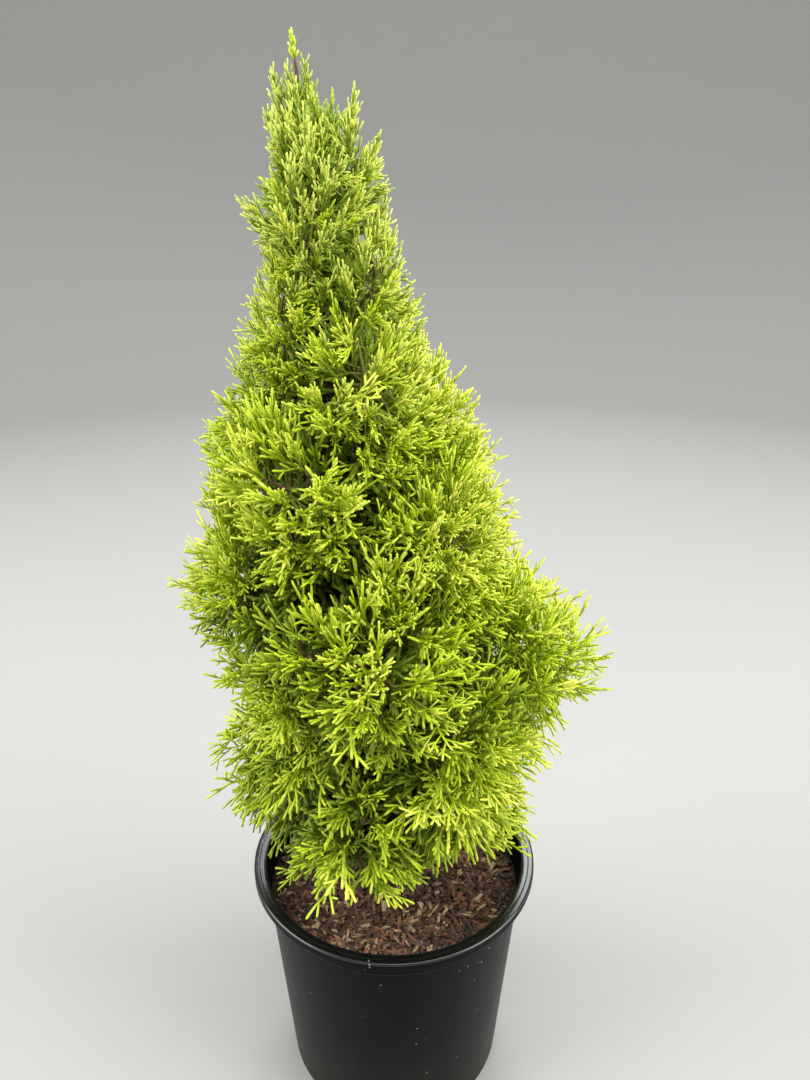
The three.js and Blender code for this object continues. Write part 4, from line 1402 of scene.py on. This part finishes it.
    def spray(self, root, way, length):
        """One spray, or a shorter one, if it stays in reach, above the skirt's edge and below the shoots."""
        for reach in (length, length * SECOND_TRY):
            tip = root + way * reach
            if in_crown(tip, OVERREACH, needle_reach) and skirt(tip) < tip.z < TUFTS_END + TUFT_OVERLAP:
                self.place(root, way, reach)
                return

    def place(self, root, way, length, kind=None):
        """Puts one spray of needles at its place, in a tone darkened by its depth in the crown: painted
        shade.
        """
        random = self.random
        tip = root + way * length
        shade = painted_shade_at(lerp(root, tip, SHADE_POINT)) + TONE_SCATTER * (random() - 0.5)
        # More painted shade at the skirt, and a little at the top, which darkens their tones
        low = ramp(SHADED_BELOW - root.z, 0, SHADED_FADE)
        shade += TOP_SHADE * ramp(root.z, *SHADED_TOP) + SKIRT_SHADE * low
        hidden = shade > HIDDEN and not kind
        kind = "plain" if hidden else kind or kind_at(tip.z, random)
        size = min(SPRAY_SIZES, key=lambda known: abs(known * HABITS[kind].size - length))
        shapes = self.shapes[kind, size]
        points, corners, slots = shapes[int(len(shapes) * random())]
        side = turned(square_to(way), way, 2 * math.pi * random())
        axes = np.array([side, way.cross(side), way])
        placed = points @ axes * clamp(length / (size * HABITS[kind].size), *SIZE_FIT)
        bend = SPRAY_RISE if root.z > DROOP_BELOW else SPRAY_DROOP
        placed[:, 2] += bend * points[:, 2] ** 2 / size
        # The deeper a spray is in the crown, the darker its tone: painted shade
        tone = clamp(int(SHADED * shade + random() - TONE_LIFT), 0, SHADED)
        paler = random() < TOP_PALENESS * ramp(root.z, *PALE_TOP)
        if hidden and random() < DYING_SHARE:
            slots = DYING
        elif paler:
            # Soft tips on soft green roots, or soft green all over where it is darker
            slots = SOFT + (1 if tone > 1 else slots)
        else:
            slots = np.minimum(tone + slots, SHADED)
        self.sprays.add(placed + np.array(root), corners, slots)


def kept_inside(start, along, length):
    """A limb's length, cut back so that it ends well inside the needles."""
    while length > SHORTEST_LIMB and not in_crown(start + along * length, LIMB_REACH, needle_reach):
        length *= 0.9
    return length


def vigour(height):
    """How large sprays grow: stout and long in the lower crown, finer towards the top."""
    return lerp(VIGOUR_LOW, VIGOUR_HIGH, ramp(height, *GROWING_FINER))


def spacing_at(height):
    """How far apart sprays grow along a plume."""
    return SPRAY_SPACING * lerp(SPACING_LOW, VIGOUR_HIGH, ramp(height, *GROWING_CLOSER))


def kind_at(height, random):
    """The kind of spray that grows at a height, with a gradual change from one to the next."""
    if height < lerp(*LOW_TO_WIDE, random()):
        return "low"
    return "wide" if height < lerp(*WIDE_TO_HIGH, random()) else "high"


def thinned(point):
    """Whether growth is left out, where the crown is open: inside its lower left."""
    aside = abs(math.remainder(azimuth_of(point) - OPEN_AZIMUTH, 2 * math.pi))
    return OPEN_LOW < point.z < OPEN_HIGH and aside < OPEN_WIDTH


def painted_shade_at(point):
    """How much painted shade growth gets at a point, from 0 at the crown's surface to 1 deep inside."""
    azimuth = azimuth_of(point)
    depth = min(needle_reach(point.z, azimuth) - off_axis(point), (TREE_HEIGHT - point.z) / 2)
    # Growth on the right, the lit side, gets less painted shade and so a paler tone: painted light
    return ramp(depth, 0, SHADE_DEPTH) * lerp(1, LIT_SIDE_SHADE, max(math.cos(azimuth), 0))


def skirt(point):
    """How low growth hangs: over the rim at the sides and back, higher over the compost in front."""
    front = ramp(-point.y, 0.05, 0.1)
    aside = max(ramp(point.x, 0.01, 0.06), ramp(-point.x, 0.095, 0.03))
    return SKIRT + front * SKIRT_LIFT + aside * ramp(-point.y, 0, 0.08) * SKIRT_SIDE_LIFT


class PLANT_OT_cypress_foliage(bpy.types.Operator):
    """Grows the twigs and sprays of needles of every mass"""
    bl_idname = "plant.cypress_foliage"
    bl_label = "Foliage"

    def execute(self, context):
        settings = context.scene.cypress_crown
        foliage = Foliage(settings)
        needles = needle_materials(settings)
        bark = [
            plain_material("young_twig_bark", colour("#5d3f2c"), 0.8),
            plain_material("green_twig_bark", colour("#6f6a2e"), 0.7),
        ]
        nodes = []
        made = 0
        largest = 0
        for plan in foliage.every:
            before = foliage.sprays.triangles()
            foliage.grow(plan)
            nodes.append(plan.node)
            grown = foliage.sprays.triangles()
            largest = max(largest, grown - before)
            # The piece is closed while there is still room for the largest mass
            if grown + largest > PIECE_TRIANGLES or plan is foliage.leader:
                made += 1
                name = f"needle_sprays_{made}"
                piece(name, foliage.sprays.mesh(name), needles, nodes)
                foliage.sprays = Heap()
                nodes = []
        piece("fine_twigs", foliage.twigs.mesh("fine_twigs"), bark)
        return {"FINISHED"}


# Stage

CAMERA_PLACE = Vector((0.0109, -0.683, 0.851))
CAMERA_PITCH = math.radians(21.8)
FOCAL_PIXELS = 850
PICTURE_HEIGHT = 1080
SENSOR_MM = 36
COVE_FLOOR = 3.2
COVE_BEND = 1.6
COVE_HEIGHT = 3.2
COVE_STEPS = 96
BEND_STEPS = 16
MID_CROWN = Vector((-0.03, 0, 0.5))

# Each softbox with its place, its size, and its power beside that of the setting
SOFTBOXES = (
    ("overhead", (0.3, -0.5, 2.4), 1.8, 0.9),
    ("left", (-2.6, -0.5, 1.8), 2.3, 3.2),
    ("right", (2.6, -0.7, 1.8), 2.3, 3.2),
    ("back", (0.3, 2.4, 3.0), 1.8, 1.8),
)


class PLANT_OT_cypress_stage(bpy.types.Operator):
    """Sets the pale floor and backdrop, the soft lamps and the camera"""
    bl_idname = "plant.cypress_stage"
    bl_label = "Studio"

    def execute(self, context):
        settings = context.scene.cypress_stage
        context.scene.view_settings.view_transform = "Standard"
        self.backdrop(settings)
        self.lights(context.scene, settings)
        camera = bpy.data.cameras.new("camera")
        camera.lens = FOCAL_PIXELS / PICTURE_HEIGHT * SENSOR_MM
        camera.sensor_width = SENSOR_MM
        camera.clip_start = 0.01
        context.scene.camera = shown("camera", camera)
        context.scene.camera.location = CAMERA_PLACE
        context.scene.camera.rotation_euler = (math.pi / 2 - CAMERA_PITCH, 0, 0)
        return {"FINISHED"}

    def backdrop(self, settings):
        """A round cove: a floor that curves up into a wall on all sides."""
        outline = [Vector((0, 0)), Vector((COVE_FLOOR, 0))]
        for n in range(1, BEND_STEPS + 1):
            angle = n / BEND_STEPS * math.pi / 2
            out = COVE_FLOOR + COVE_BEND * math.sin(angle)
            outline.append(Vector((out, COVE_BEND * (1 - math.cos(angle)))))
        outline.append(Vector((COVE_FLOOR + COVE_BEND, COVE_HEIGHT)))
        cove = spun(outline, COVE_STEPS)
        bmesh.ops.reverse_faces(cove, faces=cove.faces)
        mesh = mesh_of(cove, "studio_floor")
        mesh.materials.append(plain_material("matt_studio_floor", tuple(settings.floor), 0.85))
        floor = shown("studio_floor", mesh)

    def lights(self, scene, settings):
        """An overcast sky and large softboxes, all aimed at the middle of the crown."""
        world = bpy.data.worlds.new("overcast_sky")
        world.use_nodes = True
        sky = world.node_tree.nodes["Background"]
        sky.inputs["Color"].default_value = (*colour("#e6ebf2"), 1)
        sky.inputs["Strength"].default_value = settings.sky
        scene.world = world
        for side, place, size, power in SOFTBOXES:
            lamp = bpy.data.lights.new("softbox_" + side, "AREA")
            lamp.size = size
            lamp.energy = power * settings.softbox
            box = shown("softbox_" + side, lamp)
            box.location = place
            box.rotation_euler = (MID_CROWN - Vector(place)).to_track_quat("-Z", "Y").to_euler()


class VIEW3D_PT_cypress(bpy.types.Panel):
    """Lists the settings and the pieces of the potted cypress"""
    bl_idname = "VIEW3D_PT_cypress"
    bl_label = "Potted Cypress"
    bl_space_type = "VIEW_3D"
    bl_region_type = "UI"
    bl_category = "Cypress"

    def draw(self, context):
        for title, group, operators in (
            ("Pot", context.scene.cypress_pot, (PLANT_OT_cypress_pot, PLANT_OT_cypress_compost)),
            ("Crown", context.scene.cypress_crown, (PLANT_OT_cypress_limbs, PLANT_OT_cypress_foliage)),
            ("Stage", context.scene.cypress_stage, (PLANT_OT_cypress_stage,)),
        ):
            box = self.layout.box()
            box.label(text=title)
            for name in type(group).__annotations__:
                box.prop(group, name)
            for operator in operators:
                box.operator(operator.bl_idname)


CLASSES = (
    CypressPotSettings,
    CypressCrownSettings,
    CypressStageSettings,
    PLANT_OT_cypress_pot,
    PLANT_OT_cypress_compost,
    PLANT_OT_cypress_limbs,
    PLANT_OT_cypress_foliage,
    PLANT_OT_cypress_stage,
    VIEW3D_PT_cypress,
)


def register():
    for cls in CLASSES:
        bpy.utils.register_class(cls)
    bpy.types.Scene.cypress_pot = bpy.props.PointerProperty(type=CypressPotSettings)
    bpy.types.Scene.cypress_crown = bpy.props.PointerProperty(type=CypressCrownSettings)
    bpy.types.Scene.cypress_stage = bpy.props.PointerProperty(type=CypressStageSettings)


def unregister():
    del bpy.types.Scene.cypress_stage
    del bpy.types.Scene.cypress_crown
    del bpy.types.Scene.cypress_pot
    for cls in reversed(CLASSES):
        bpy.utils.unregister_class(cls)


def main():
    register()
    bpy.ops.plant.cypress_stage()
    bpy.ops.plant.cypress_pot()
    bpy.ops.plant.cypress_compost()
    bpy.ops.plant.cypress_limbs()
    bpy.ops.plant.cypress_foliage()


if __name__ == "__main__":
    main()
